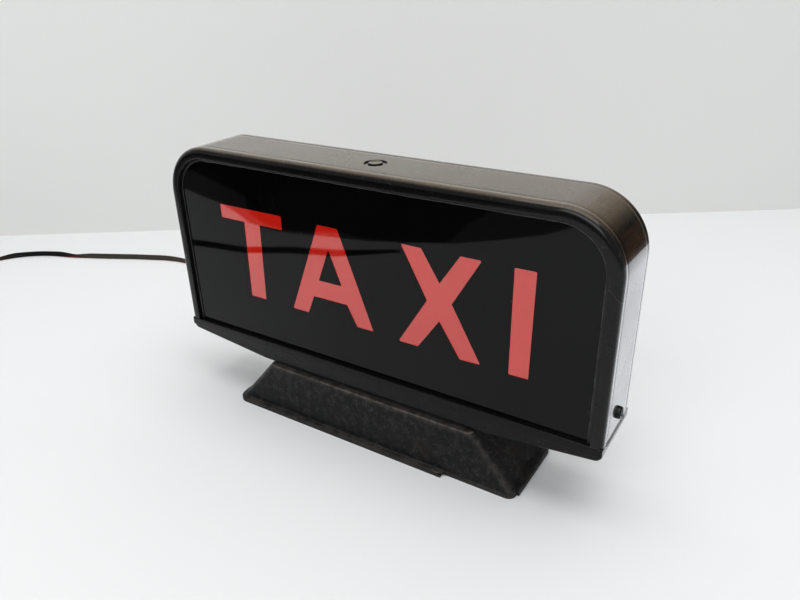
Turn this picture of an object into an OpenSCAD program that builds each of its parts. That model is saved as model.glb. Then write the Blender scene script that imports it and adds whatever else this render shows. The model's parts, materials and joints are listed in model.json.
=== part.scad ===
// Illuminated taxi roof sign: a lettered light box on a magnetic foot, with a 12 V lead.
// Frame: origin at the bottom centre of the foot, +X to the right seen from the front,
// the front faces -Y, +Z up. All sizes are in millimetres.

/* [Light box] */
// Width of the light box
box_w = 300; // [280:1:320]
// Depth of the light box from front to back
box_d = 45.5; // [45:0.5:50]
// Height of the top of the light box above the table
top_z = 177.5; // [170:0.5:190]
// Height of the seam between the housing and the bottom tray
seam_z = 51.5; // [51:0.5:53]
// Outer radius of the two top corners
corner_r = 33; // [30:1:36]
// Width of the bezel round each lettered panel
bezel_w = 7; // [6:0.5:8]
// Depth of the lettered panels behind the bezel
bezel_t = 2.75; // [2.5:0.25:3]
// Thickness of the moulded housing wall
wall = 3; // [2.5:0.25:3]
// Radius of the long outer edges of the housing
edge_r = 4; // [2:0.5:4]

/* [Bottom tray] */
// Lowest level of the tray, over the foot
tray_low_z = 36.5; // [36.5:0.5:37]
// Level of the tray's underside at its two ends
tray_end_z = 43; // [42:0.5:44]
// Half length of the flat middle of the tray's underside
tray_flat_x = 82; // [78:1:90]
// Level of the fine step line along the tray
step_z = 46; // [45.5:0.5:47]
// Thickness of the tray's walls and floor
tray_wall = 2.5; // [2:0.25:2.5]

/* [Lettered panels] */
// Thickness of the red lens sheet
lens_t = 2.5; // [2:0.25:3]
// Thickness of the black mask film
mask_t = 0.25; // [0.2:0.05:0.4]
// Radius that rounds the letters' corners
letter_round = 0.8; // [0.4:0.1:1.2]

/* [Foot] */
// Length of the foot's top
foot_top_w = 153; // [150:1:156]
// Depth of the foot's top
foot_top_d = 50.8; // [50:0.2:52]
// Length of the foot at the table
foot_low_w = 209; // [207:0.5:210]
// Depth of the foot at the table
foot_low_d = 53; // [52:0.5:54]
// Height of the foot
foot_h = 35.5; // [35:0.5:35.5]
// Width of the lip along the foot's front and back
lip_w = 3.8; // [3:0.2:5]
// Width of the lip at the foot's ends
lip_end_w = 1.5; // [1.2:0.1:2]
// Thickness of the rubber pad under the foot
pad_t = 1.6; // [1.2:0.1:2]
// Radius of the pot magnets
magnet_r = 21.5; // [20:0.5:21.5]
// Distance of each magnet from the middle
magnet_x = 62; // [58:1:64]

/* [Button] */
// Radius of the recess round the button
recess_r = 6.6; // [6:0.1:7]
// Depth of the recess
recess_t = 0.8; // [0.6:0.1:1]
// Radius of the button
button_r = 4.1; // [3.8:0.1:4.2]
// How far the button stands proud of the recess
button_proud = 1.2; // [0.8:0.1:1.3]

/* [Lead] */
// Width of the flat twin lead
cord_d = 5.2; // [5:0.1:5.4]
// Radius of the coil at the middle of its turns
coil_r = 28; // [26:1:30]
// Radius of the plug's grip
grip_r = 12; // [11.5:0.5:12]
// Radius of the plug's barrel
barrel_r = 10.4; // [10.2:0.1:10.5]

/* [Hidden] */
$fn = 64;
eps = 0.01;
fit = 0.05;
gap = 0.3;

half_w = box_w / 2;
half_d = box_d / 2;
corner_x = half_w - corner_r;
corner_z = top_z - corner_r;
opening_r = corner_r - bezel_w;
shelf_y = half_d - bezel_t;

// The housing's side walls reach down over notches in the tray's ends.
tab_low_z = seam_z - 2.6;
tab_half = 17;

lens_low_z = seam_z - 1.5;
lens_r = corner_r - wall - gap;
mask_y = shelf_y - fit;
lens_y = mask_y - mask_t;
seal_t = 0.7;

side_screw_z = 62;
side_screw_l = 11;
side_screw_head_r = 3.5;
side_screw_head_h = 2.4;
m3 = 1.5;
m4 = 2;
m5 = 2.5;
hole_clear = 0.2;
button_clear = 0.2;
screw_slot_reach = 0.55;
screw_slot_w = 0.9;
screw_slot_floor = 0.4;

// The tray's body is set back from its upper band; posts on its floor take the screws.
tray_end_r = 4;
step_d = 0.4;
step_end = 0.2;
post_w = 8;
post_d = 16;
post_gap = 0.3;
post_x = half_w - wall - post_w / 2 - post_gap;
post_top_z = 71;
reflector_post_r = 4;
reflector_hole_l = 9;

foot_wall = 3;
foot_roof = 4;
flange_t = 1.4;
flange_top_z = pad_t + flange_t;
foot_corner_r = 5;
foot_top_r = 5.5;
notch_x = 59;
notch_y = 20.5;
plate_z = 8.5;
plate_t = 1.5;
plate_w = 176;
plate_corner_r = 5;
plate_d = 41.6;
magnet_low_z = 0.6;
cup_roof = 2.5;
cup_wall = 1.5;
ring_gap = 0.2;
ring_hole_r = 4.5;
rivet_head_r = 3.8;
rivet_head_h = 1.6;
rivet_tail_r = 3.4;
rivet_tail_h = 1.4;
foot_screw_x = 25;
foot_screw_head_r = 4.6;
foot_screw_head_h = 3;
foot_screw_over = 5.5;
foot_boss_r = 6;
foot_nut_r = 4.6;
foot_nut_h = 4;
gasket_in_x = 2.5;
gasket_in_y = 4;
gasket_corner_r = 5;
lip_corner_r = 7;
wire_hole_r = 4;

reflector_z = 54;
reflector_t = 1;
reflector_w = 250;
reflector_d = 31;
reflector_post_x = 100;
reflector_tilt = 8;
reflector_side_h = 8;
reflector_wire_x = 15;
reflector_wire_r = 3;
reflector_head_r = 3;
reflector_head_h = 1.8;
reflector_screw_l = 8;
lamp_x = 60;
holder_h = 12;
holder_r = 7.2;
holder_flange_r = 9;
holder_flange_t = 2;
holder_floor = 4;
bulb_r = 5;
bulb_cap_r = 4.2;
bulb_cap_h = 6;
bulb_l = 19;
block_w = 18;
block_d = 12;
block_h = 11;
block_pitch = 4.5;
block_screw_r = 1.8;
block_entry_r = 1.6;
block_entry_z = 4;
wire_r = 0.9;
wire_side_y = 8;

roof_low_z = top_z - wall;
cap_flange_t = 1.4;
cap_flange_w = 1.5;
cap_dish_t = 0.25;
cap_rim = 1.2;
spring_out_r = 3.6;
spring_in_r = 2.8;
cap_top_z = top_z - recess_t + button_proud;
cap_low_z = roof_low_z - 0.1 - cap_flange_t;
switch_low_z = 156;
switch_floor_z = 161;
switch_r = 9;
switch_hollow_r = 6.2;
terminal_x = 3.5;
terminal_w = 2.8;
terminal_t = 0.8;
terminal_l = 8;

grommet_x = -40;
grommet_z = 12;
grommet_y = 26.2;
grommet_out_r = 6;
grommet_in_r = 5.4;
grommet_neck_r = 4.2;

// The lead leaves the back of the foot, bends round behind it and lies on the table.
lead_route = [
    [-40, 23, 12], [-40, 31, 12], [-40, 38, 12], [-41, 46, 11.4], [-44, 55, 10.2], [-50, 65, 8.4],
    [-59, 75, 6.4], [-71, 84, 4.6], [-86, 91, 3.4], [-104, 96, 2.8], [-124, 100, 2.6],
    [-146, 104, 2.6], [-170, 108, 2.6], [-195, 112, 2.6], [-220, 116, 2.6], [-245, 120, 2.6],
    [-270, 123, 2.6], [-295, 126, 2.6], [-318, 127, 2.6], [-340, 126, 2.6], [-358, 121, 2.6],
    [-374, 114, 2.6], [-390, 107, 2.6], [-406, 99, 2.6], [-422, 91, 2.6], [-438, 84, 2.6],
    [-454, 77, 2.6], [-472, 70, 2.6], [-488, 62, 2.6], [-501, 52, 2.6], [-512, 40, 2.6],
    [-519, 26, 2.6], [-522, 10, 2.6], [-522, -7, 2.6]
];
coil_x = -550;
coil_y = -20;
coil_w = 16;
coil_h = 10.6;
tail_route = [
    [-548, -48, 2.6], [-557, -48, 2.6], [-566, -48, 2.6], [-574, -50, 2.6], [-581, -55, 2.6],
    [-585, -61, 2.6], [-587, -69, 2.6], [-585, -77, 2.6], [-581, -83, 2.7], [-574, -88, 3.4],
    [-566, -90, 4.6], [-557, -90, 6.8], [-548, -90, 9.4], [-540, -90, 11.2], [-532, -90, 12],
    [-514, -90, 12]
];
plug_x = -530;
plug_y = -90;
plug_z = 12;
relief_l = 18;
grip_l = 38;
barrel_l = 32;
nose_l = 6;
hollow_r = 7.6;
grip_x = relief_l;
barrel_x = grip_x + grip_l;
nose_x = barrel_x + barrel_l;
hollow_x = grip_x + 8;
nose_neck_l = 1.3;
tip_flange_x = nose_x - nose_neck_l - fit;
fuse_l = 30;
tip_flange_t = 1.4;
fuse_x = tip_flange_x - tip_flange_t - fit - fuse_l;
contact_x = barrel_x + 8;
contact_l = 18;
contact_w = 4;
contact_t = 0.8;
contact_bulge = 1.5;
contact_gap = 0.2;
slot_w = contact_w + 2 * contact_gap;
slot_l = contact_l + 4 * contact_gap;
contact_low = 0.9;
relief_end_r = 4;
relief_root_r = 6.6;
rib_count = 6;
rib_pitch = 5.6;
rib_w = 3;
rib_h = 0.4;
nose_in = 0.6;
nose_taper = 2.4;
tip_r = 3.45;
tip_hole_r = 3.55;
tip_flange_r = 5.2;
tip_proud = 2;
fuse_r = 3.17;

// ---- Shared shapes ----

// A rectangle centred on the origin with round corners.
module rounded_rect(w, d, r) {
    square([w - 2 * r, d], center = true);
    square([w, d - 2 * r], center = true);
    for (x = [-1, 1])
        for (y = [-1, 1])
            translate([x * (w / 2 - r), y * (d / 2 - r)])
                circle(r = r);
}

// Sweeps a 2D section up the left side, over the top and down the right side of the box.
// The section's x is its radius in the top corners and its y is the depth towards the back.
module arch_sweep(low_z) {
    for (side = [0, 1])
        mirror([side, 0, 0]) {
            translate([corner_x, 0, low_z])
                linear_extrude(corner_z - low_z)
                    children();
            translate([corner_x, 0, corner_z])
                rotate([90, 0, 0])
                    rotate_extrude(angle = 90)
                        mirror([0, 1])
                            children();
        }
    translate([-corner_x, 0, corner_z])
        rotate([0, -90, 180])
            linear_extrude(2 * corner_x)
                mirror([0, 1])
                    children();
}

// The outline of a sheet that fills the arch, drawn in X and Z.
module arch_outline(r, low_z) {
    translate([-corner_x - r, low_z])
        square([2 * (corner_x + r), corner_z - low_z]);
    translate([-corner_x, low_z])
        square([2 * corner_x, corner_z + r - low_z]);
    for (side = [-1, 1])
        translate([side * corner_x, corner_z])
            circle(r = r);
}

// Stands an outline drawn in X and Z upright, from depth y_front back by t.
module upright(y_front, t) {
    translate([0, y_front + t, 0])
        rotate([90, 0, 0])
            linear_extrude(t)
                children();
}

// A pan head screw that points along +Z, with its head above the origin.
module pan_screw(shank_r, head_r, head_h, shank_l) {
    difference() {
        union() {
            cylinder(r = head_r, h = head_h);
            translate([0, 0, -shank_l])
                cylinder(r = shank_r, h = shank_l + eps);
        }
        for (turn = [0, 90])
            rotate([0, 0, turn])
                translate([-head_r * screw_slot_reach, -screw_slot_w / 2, head_h * screw_slot_floor])
                    cube([2 * head_r * screw_slot_reach, screw_slot_w, head_h]);
    }
}

// ---- Light box ----

// The C section of the housing: a wall with a bezel lip in front and behind.
module housing_section() {
    difference() {
        union() {
            translate([opening_r, -half_d])
                square([bezel_w - edge_r, box_d]);
            translate([opening_r, -half_d + edge_r])
                square([bezel_w, box_d - 2 * edge_r]);
            for (side = [-1, 1])
                translate([corner_r - edge_r, side * (half_d - edge_r)])
                    circle(r = edge_r);
        }
        translate([opening_r - edge_r, -shelf_y])
            square([bezel_w - wall + edge_r, 2 * shelf_y]);
        translate([opening_r - edge_r, -half_d - 1])
            square([edge_r, box_d + 2]);
    }
}

module housing_shell() {
    color([0.05, 0.05, 0.05])
        difference() {
            union() {
                arch_sweep(seam_z)
                    housing_section();
                for (side = [-1, 1])
                    translate([side * (half_w - wall / 2) - wall / 2, -tab_half, tab_low_z])
                        cube([wall, 2 * tab_half, seam_z + 2 - tab_low_z]);
            }
            translate([0, 0, roof_low_z - 1])
                cylinder(r = button_r + button_clear, h = wall + 2);
            translate([0, 0, top_z - recess_t])
                cylinder(r = recess_r, h = recess_t + 1);
            translate([-half_w - 1, 0, side_screw_z])
                rotate([0, 90, 0])
                    cylinder(r = m4 + hole_clear, h = box_w + 2);
        }
}

// Half of the tray's lower outline, from the middle out to the end, raised by lift.
function tray_edge(lift, half_l, r) = [
    [0, tray_low_z + lift],
    [tray_flat_x, tray_low_z + lift],
    for (a = [-84 : 14 : 0])
        [half_l - r + r * cos(a), tray_end_z + lift + r + r * sin(a)]
];

module tray_outline(lift, half_l, r, high_z) {
    for (side = [0, 1])
        mirror([side, 0])
            polygon(concat(tray_edge(lift, half_l, r), [[half_l, high_z], [0, high_z]]));
}

module bottom_tray() {
    color([0.06, 0.06, 0.06])
        difference() {
            union() {
                difference() {
                    union() {
                        upright(-half_d + step_d, box_d - 2 * step_d)
                            tray_outline(0, half_w - step_end, tray_end_r, seam_z);
                        translate([-half_w, -half_d, step_z])
                            cube([box_w, box_d, seam_z - step_z]);
                    }
                    upright(-half_d + tray_wall, box_d - 2 * tray_wall)
                        tray_outline(tray_wall, half_w - wall, tray_end_r / 2, seam_z + 1);
                }
                for (side = [-1, 1]) {
                    translate([side * post_x - post_w / 2, -post_d / 2, tray_end_z + 1])
                        cube([post_w, post_d, post_top_z - tray_end_z - 1]);
                    translate([side * reflector_post_x, 0, tray_low_z + wall])
                        cylinder(r = reflector_post_r, h = reflector_z - tray_low_z - wall);
                }
            }
            for (side = [-1, 1]) {
                translate([side * half_w - wall - fit, -tab_half - 2 * fit, tab_low_z - 2 * fit])
                    cube([2 * (wall + fit), 2 * (tab_half + 2 * fit), 2 * wall]);
                translate([side * foot_screw_x, 0, tray_low_z - 1])
                    cylinder(r = m5 + hole_clear, h = tray_wall + 2);
                translate([side * reflector_post_x, 0, reflector_z - reflector_hole_l])
                    cylinder(r = m3 + fit, h = reflector_hole_l + 1);
            }
            translate([0, 0, tray_low_z - 1])
                cylinder(r = wire_hole_r, h = tray_wall + 2);
            translate([-half_w + wall - 1, 0, side_screw_z])
                rotate([0, 90, 0])
                    cylinder(r = m4 + fit, h = box_w - 2 * wall + 2);
        }
}

module lens() {
    upright(-lens_y, lens_t)
        arch_outline(lens_r, lens_low_z);
}

module letter_t() {
    polygon([[-108.5, 91], [-57.3, 91], [-57.3, 81.8], [-75.6, 81.8], [-77.3, 30], [-90.3, 30],
        [-89, 81.8], [-108.5, 81.8]]);
}

module letter_a() {
    difference() {
        polygon([[-29.6, 90.4], [-14.9, 90.4], [7.8, 29.2], [-4.4, 29.2], [-11.2, 42.3],
            [-36.3, 42.3], [-41.8, 29.6], [-54.6, 29.6]]);
        polygon([[-22.7, 75.5], [-31.3, 54.3], [-14.6, 54.3]]);
    }
}

module letter_x() {
    polygon([[28, 89.8], [41.3, 89.6], [52.6, 71.4], [65, 89.7], [77.6, 89.7], [60.3, 60.6],
        [78.4, 27.8], [65.4, 27.4], [52.4, 48], [38.4, 28.1], [25.1, 28.1], [44.5, 59]]);
}

module letter_i() {
    polygon([[95.3, 89.7], [107.4, 89.9], [106.4, 27.4], [94.8, 27.2]]);
}

module letters() {
    offset(r = letter_round, $fn = 24)
        offset(delta = -letter_round)
            translate([0, seam_z]) {
                letter_t();
                letter_a();
                letter_x();
                letter_i();
            }
}

module mask() {
    upright(-mask_y, mask_t)
        difference() {
            arch_outline(lens_r, lens_low_z);
            letters();
        }
}

// A thin bead of sealant in the corner between the bezel's lip and the panel.
module seal() {
    arch_sweep(seam_z + gap)
        translate([opening_r - seal_t, -mask_y - seal_t])
            square([seal_t - 0.02, seal_t]);
}

// Turns a front piece into the matching piece of the back.
module rear() {
    rotate([0, 0, 180])
        children();
}

module front_lens() { color([0.7, 0.08, 0.1]) lens(); }
module front_mask() { color([0.04, 0.04, 0.04]) mask(); }
module front_seal() { color([0.25, 0.25, 0.25]) seal(); }
module rear_lens() { color([0.7, 0.08, 0.1]) rear() lens(); }
module rear_mask() { color([0.04, 0.04, 0.04]) rear() mask(); }
module rear_seal() { color([0.25, 0.25, 0.25]) rear() seal(); }

module side_screw(side) {
    color([0.08, 0.08, 0.08])
        translate([side * half_w, 0, side_screw_z])
            rotate([0, side * 90, 0])
                pan_screw(m4, side_screw_head_r, side_screw_head_h, side_screw_l);
}

module side_screw_left() { side_screw(-1); }
module side_screw_right() { side_screw(1); }

// ---- Button and switch ----

module button_cap() {
    color([0.1, 0.1, 0.1])
        difference() {
            union() {
                translate([0, 0, cap_low_z])
                    cylinder(r = button_r + cap_flange_w, h = cap_flange_t);
                translate([0, 0, cap_low_z])
                    cylinder(r = button_r, h = cap_top_z - cap_low_z);
            }
            translate([0, 0, cap_top_z - cap_dish_t])
                cylinder(r = button_r - cap_rim, h = 1);
        }
}

module button_spring() {
    color([0.7, 0.7, 0.72])
        translate([0, 0, switch_floor_z])
            difference() {
                cylinder(r = spring_out_r, h = cap_low_z - switch_floor_z);
                translate([0, 0, -1])
                    cylinder(r = spring_in_r, h = cap_low_z - switch_floor_z + 2);
            }
}

module switch_body() {
    color([0.15, 0.15, 0.16])
        difference() {
            translate([0, 0, switch_low_z])
                cylinder(r = switch_r, h = roof_low_z - switch_low_z);
            translate([0, 0, switch_floor_z])
                cylinder(r = switch_hollow_r, h = roof_low_z);
        }
}

module switch_terminals() {
    color([0.75, 0.6, 0.3])
        for (side = [-1, 1])
            translate([side * terminal_x - terminal_w / 2, -terminal_t / 2, switch_low_z - terminal_l])
                cube([terminal_w, terminal_t, terminal_l]);
}

// ---- Lamps and wiring ----

module reflector() {
    color([0.9, 0.9, 0.88])
        difference() {
            union() {
                translate([-reflector_w / 2, -reflector_d / 2, reflector_z])
                    cube([reflector_w, reflector_d, reflector_t]);
                for (side = [0, 1])
                    mirror([0, side, 0])
                        translate([-reflector_w / 2, reflector_d / 2 - 2 * reflector_t, reflector_z])
                            rotate([-reflector_tilt, 0, 0])
                                translate([0, 0, reflector_t / 2])
                                    cube([reflector_w, reflector_t, reflector_side_h]);
            }
            for (side = [-1, 1])
                translate([side * reflector_post_x, 0, reflector_z - 1])
                    cylinder(r = m3 + hole_clear, h = reflector_t + 2);
            for (side = [-1, 1])
                translate([side * reflector_wire_x, 0, reflector_z - 1])
                    cylinder(r = reflector_wire_r, h = reflector_t + 2);
        }
}

module reflector_screw(side) {
    color([0.7, 0.7, 0.7])
        translate([side * reflector_post_x, 0, reflector_z + reflector_t])
            pan_screw(m3, reflector_head_r, reflector_head_h, reflector_screw_l);
}

module reflector_screw_left() { reflector_screw(-1); }
module reflector_screw_right() { reflector_screw(1); }

module lamp_holder(side) {
    color([0.2, 0.2, 0.2])
        translate([side * lamp_x, 0, reflector_z + reflector_t])
            difference() {
                union() {
                    cylinder(r = holder_flange_r, h = holder_flange_t);
                    cylinder(r = holder_r, h = holder_h);
                }
                translate([0, 0, holder_floor])
                    cylinder(r = bulb_r + gap, h = holder_h);
            }
}

module lamp_holder_left() { lamp_holder(-1); }
module lamp_holder_right() { lamp_holder(1); }

module bulb(side) {
    color([0.9, 0.9, 0.95, 0.4])
        translate([side * lamp_x, 0, reflector_z + reflector_t + holder_floor + 2 * fit])
            rotate_extrude() {
                square([bulb_cap_r, bulb_cap_h]);
                translate([0, bulb_cap_h - 1])
                    square([bulb_r, bulb_l - bulb_cap_h + 1]);
                intersection() {
                    translate([0, bulb_l])
                        circle(r = bulb_r);
                    square([bulb_r, bulb_l + bulb_r]);
                }
            }
}

module bulb_left() { bulb(-1); }
module bulb_right() { bulb(1); }

module terminal_block() {
    color([0.85, 0.85, 0.8])
        translate([0, 0, reflector_z + reflector_t])
            difference() {
                translate([-block_w / 2, -block_d / 2, 0])
                    cube([block_w, block_d, block_h]);
                for (side = [-1, 1])
                    translate([side * block_pitch, 0, block_entry_z]) {
                        cylinder(r = block_screw_r, h = block_h);
                        rotate([90, 0, 0])
                            cylinder(r = block_entry_r, h = block_d + 2, center = true);
                    }
            }
}

// Round wire that runs straight from each point to the next.
module wire(points) {
    for (i = [0 : len(points) - 2]) {
        v = points[i + 1] - points[i];
        translate(points[i])
            rotate([0, acos(v[2] / norm(v)), atan2(v[1], v[0])])
                cylinder(r = wire_r, h = norm(v), $fn = 12);
        translate(points[i + 1])
            sphere(r = wire_r, $fn = 12);
    }
}

// The red wires: from the block to a lamp, up to the switch, and down to the lead in the foot.
module wiring() {
    block_z = reflector_z + reflector_t + block_entry_z;
    side_y = wire_side_y;
    color([0.6, 0.1, 0.1])
        for (side = [-1, 1]) {
            block_x = side * block_pitch;
            hole_x = side * reflector_wire_x;
            pair_x = side * 1.3;
            wire([[block_x, side_y, block_z], [side * 20, side_y + 1, block_z],
                [side * (lamp_x - 10), side_y + 1, block_z + 2]]);
            wire([[block_x, -side_y, block_z], [block_x, -side_y, 80],
                [side * terminal_x, -1.6, switch_low_z - 3]]);
            wire([[grommet_x - pair_x, 20, grommet_z + 2], [grommet_x - pair_x, 16, grommet_z + 5],
                [-pair_x, 0, foot_h - 6], [-pair_x, 0, step_z], [hole_x, 0, seam_z - 1.5],
                [hole_x, 0, block_z], [hole_x, -side_y, block_z], [side * 6.4, -side_y, block_z]]);
        }
}

// ---- Foot ----

module spacer_gasket() {
    color([0.1, 0.1, 0.1])
        translate([0, 0, foot_h])
            difference() {
                linear_extrude(tray_low_z - foot_h)
                    rounded_rect(foot_top_w - 2 * gasket_in_x, foot_top_d - 2 * gasket_in_y,
                        gasket_corner_r);
                translate([0, 0, -1])
                    cylinder(r = wire_hole_r, h = wall);
                for (side = [-1, 1])
                    translate([side * foot_screw_x, 0, -1])
                        cylinder(r = m5 + hole_clear, h = wall);
            }
}

// The lip's outline, with the length that is broken away at the front right corner.
module lip_outline() {
    difference() {
        rounded_rect(foot_low_w + 2 * lip_end_w, foot_low_d + 2 * lip_w, lip_corner_r);
        difference() {
            translate([notch_x, -foot_low_d])
                square([foot_low_w, foot_low_d - notch_y]);
            rounded_rect(foot_low_w, foot_low_d, foot_corner_r);
        }
    }
}

// The foot's sloping body between two round-cornered rectangles, inset all round.
module foot_body(inset, low_z, high_z) {
    hull() {
        translate([0, 0, low_z])
            linear_extrude(eps)
                offset(delta = -inset)
                    rounded_rect(foot_low_w, foot_low_d, foot_corner_r, $fn = 32);
        translate([0, 0, high_z - eps])
            linear_extrude(eps)
                offset(delta = -inset)
                    rounded_rect(foot_top_w, foot_top_d, foot_top_r, $fn = 32);
    }
}

module foot_cover() {
    color([0.09, 0.08, 0.08])
        difference() {
            union() {
                foot_body(0, flange_top_z - 0.4, foot_h);
                translate([0, 0, pad_t])
                    linear_extrude(flange_t)
                        lip_outline();
            }
            difference() {
                foot_body(foot_wall, pad_t - 1, foot_h - foot_roof);
                for (side = [-1, 1])
                    translate([side * foot_screw_x, 0, plate_z + plate_t])
                        cylinder(r = foot_boss_r, h = foot_h);
            }
            for (side = [-1, 1])
                translate([side * foot_screw_x, 0, 0])
                    cylinder(r = m5 + hole_clear, h = foot_h + 1);
            cylinder(r = wire_hole_r, h = foot_h + 1);
            translate([grommet_x, grommet_y - 8, grommet_z])
                rotate([-90, 0, 0])
                    cylinder(r = grommet_neck_r + 2 * fit, h = 12);
        }
}

module foot_plate() {
    color([0.6, 0.6, 0.6])
        translate([0, 0, plate_z])
            difference() {
                linear_extrude(plate_t)
                    rounded_rect(plate_w, plate_d, plate_corner_r);
                for (side = [-1, 1]) {
                    translate([side * foot_screw_x, 0, -1])
                        cylinder(r = m5 + hole_clear, h = plate_t + 2);
                    translate([side * magnet_x, 0, -1])
                        cylinder(r = m4 + 2 * fit, h = plate_t + 2);
                }
            }
}

module foot_pad() {
    color([0.12, 0.12, 0.12])
        difference() {
            linear_extrude(pad_t)
                lip_outline();
            for (side = [-1, 1])
                translate([side * magnet_x, 0, -1])
                    cylinder(r = magnet_r + 0.5, h = pad_t + 2);
        }
}

module magnet_cup(side) {
    color([0.7, 0.7, 0.72])
        translate([side * magnet_x, 0, magnet_low_z])
            difference() {
                cylinder(r = magnet_r, h = plate_z - magnet_low_z);
                translate([0, 0, -1])
                    cylinder(r = magnet_r - cup_wall, h = plate_z - magnet_low_z - cup_roof + 1);
                cylinder(r = m4 + 2 * fit, h = plate_z);
            }
}

module magnet_ring(side) {
    color([0.25, 0.25, 0.26])
        translate([side * magnet_x, 0, magnet_low_z])
            difference() {
                cylinder(r = magnet_r - cup_wall - ring_gap, h = plate_z - magnet_low_z - cup_roof);
                translate([0, 0, -1])
                    cylinder(r = ring_hole_r, h = plate_z);
            }
}

module magnet_rivet(side) {
    rivet_z = plate_z - cup_roof;
    color([0.75, 0.75, 0.75])
        translate([side * magnet_x, 0, 0]) {
            translate([0, 0, rivet_z - rivet_head_h])
                cylinder(r = rivet_head_r, h = rivet_head_h);
            translate([0, 0, rivet_z - 0.1])
                cylinder(r = m4, h = cup_roof + plate_t + 0.2);
            translate([0, 0, plate_z + plate_t])
                cylinder(r = rivet_tail_r, h = rivet_tail_h);
        }
}

module magnet_cup_left() { magnet_cup(-1); }
module magnet_cup_right() { magnet_cup(1); }
module magnet_ring_left() { magnet_ring(-1); }
module magnet_ring_right() { magnet_ring(1); }
module magnet_rivet_left() { magnet_rivet(-1); }
module magnet_rivet_right() { magnet_rivet(1); }

module foot_screw(side) {
    color([0.7, 0.7, 0.7])
        translate([side * foot_screw_x, 0, plate_z])
            rotate([180, 0, 0])
                pan_screw(m5, foot_screw_head_r, foot_screw_head_h,
                    tray_low_z + tray_wall + foot_screw_over - plate_z);
}

module foot_nut(side) {
    color([0.72, 0.72, 0.72])
        translate([side * foot_screw_x, 0, tray_low_z + tray_wall])
            difference() {
                cylinder(r = foot_nut_r, h = foot_nut_h, $fn = 6);
                translate([0, 0, -1])
                    cylinder(r = m5 + fit, h = foot_nut_h + 2);
            }
}

module foot_screw_left() { foot_screw(-1); }
module foot_screw_right() { foot_screw(1); }
module foot_nut_left() { foot_nut(-1); }
module foot_nut_right() { foot_nut(1); }

// ---- Lead and plug ----

module grommet() {
    color([0.07, 0.07, 0.07])
        translate([grommet_x, grommet_y, grommet_z])
            rotate([-90, 0, 0])
                difference() {
                    union() {
                        translate([0, 0, 0.2])
                            cylinder(r = grommet_out_r, h = 2.2);
                        translate([0, 0, -3.4])
                            cylinder(r = grommet_neck_r, h = 4);
                        translate([0, 0, -5])
                            cylinder(r = grommet_in_r, h = 1.6);
                    }
                    translate([0, 0, -6])
                        cylinder(r = cord_d / 2 + fit, h = 10);
                }
}

// The direction of the route at point i.
function heading(route, i) =
    let (a = route[max(i - 1, 0)], b = route[min(i + 1, len(route) - 1)])
    (b - a) / norm(b - a);

// One ring of n points round point i of the route.
function ring(route, i, r, n) =
    let (f = heading(route, i), s = cross(f, [0, 0, 1]) / norm(cross(f, [0, 0, 1])), u = cross(s, f))
    [for (k = [0 : n - 1]) route[i] + r * (cos(360 * k / n) * s + sin(360 * k / n) * u)];

// A tube of radius r that follows the route.
module route_tube(route, r, n) {
    last = len(route) - 1;
    points = [for (i = [0 : last]) each ring(route, i, r, n)];
    sides = [
        for (i = [0 : last - 1])
            for (k = [0 : n - 1])
                [i * n + k, (i + 1) * n + k, (i + 1) * n + (k + 1) % n, i * n + (k + 1) % n]
    ];
    ends = [[for (k = [0 : n - 1]) k], [for (k = [n - 1 : -1 : 0]) last * n + k]];
    polyhedron(points, concat(sides, ends));
}

module lead_tube() { color([0.1, 0.08, 0.08]) route_tube(lead_route, cord_d / 2, 8); }
module lead_tail() { color([0.1, 0.08, 0.08]) route_tube(tail_route, cord_d / 2, 8); }

module lead_coil() {
    color([0.1, 0.08, 0.08])
        translate([coil_x, coil_y, 0])
            rotate_extrude()
                translate([coil_r, coil_h / 2])
                    rounded_rect(coil_w, coil_h, 2.6);
}

// Lays a piece that is modelled along +Z down along +X at the plug.
module along_plug() {
    translate([plug_x, plug_y, plug_z])
        rotate([0, 90, 0])
            children();
}

module plug_relief() {
    color([0.08, 0.08, 0.08])
        along_plug()
            rotate_extrude()
                polygon([[cord_d / 2 + fit, 0], [relief_end_r, 0], [relief_root_r, relief_l],
                    [cord_d / 2 + fit, relief_l]]);
}

module plug_body() {
    color([0.08, 0.08, 0.08])
        along_plug()
            difference() {
                union() {
                    translate([0, 0, grip_x])
                        cylinder(r = grip_r - rib_h, h = grip_l);
                    for (i = [0 : rib_count - 1])
                        translate([0, 0, grip_x + rib_w + rib_pitch * i])
                            cylinder(r = grip_r, h = rib_w);
                    translate([0, 0, barrel_x - 1])
                        cylinder(r = barrel_r, h = barrel_l + 1);
                }
                translate([0, 0, grip_x - 1])
                    cylinder(r = cord_d / 2 + fit, h = hollow_x - grip_x + 2);
                translate([0, 0, hollow_x])
                    cylinder(r = hollow_r, h = nose_x);
                for (side = [0, 1])
                    mirror([0, side, 0])
                        translate([-slot_w / 2, hollow_r - 2.6, contact_x - (slot_l - contact_l) / 2])
                            cube([slot_w, barrel_r - 2.4, slot_l]);
            }
}

module plug_nose() {
    color([0.09, 0.09, 0.09])
        along_plug()
            difference() {
                union() {
                    translate([0, 0, nose_x])
                        cylinder(r1 = barrel_r - nose_in, r2 = barrel_r - nose_taper, h = nose_l);
                    translate([0, 0, nose_x - nose_neck_l])
                        cylinder(r = hollow_r - fit, h = nose_neck_l + 0.1);
                }
                translate([0, 0, nose_x - 2 * nose_neck_l])
                    cylinder(r = tip_hole_r, h = 2 * nose_l);
            }
}

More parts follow.
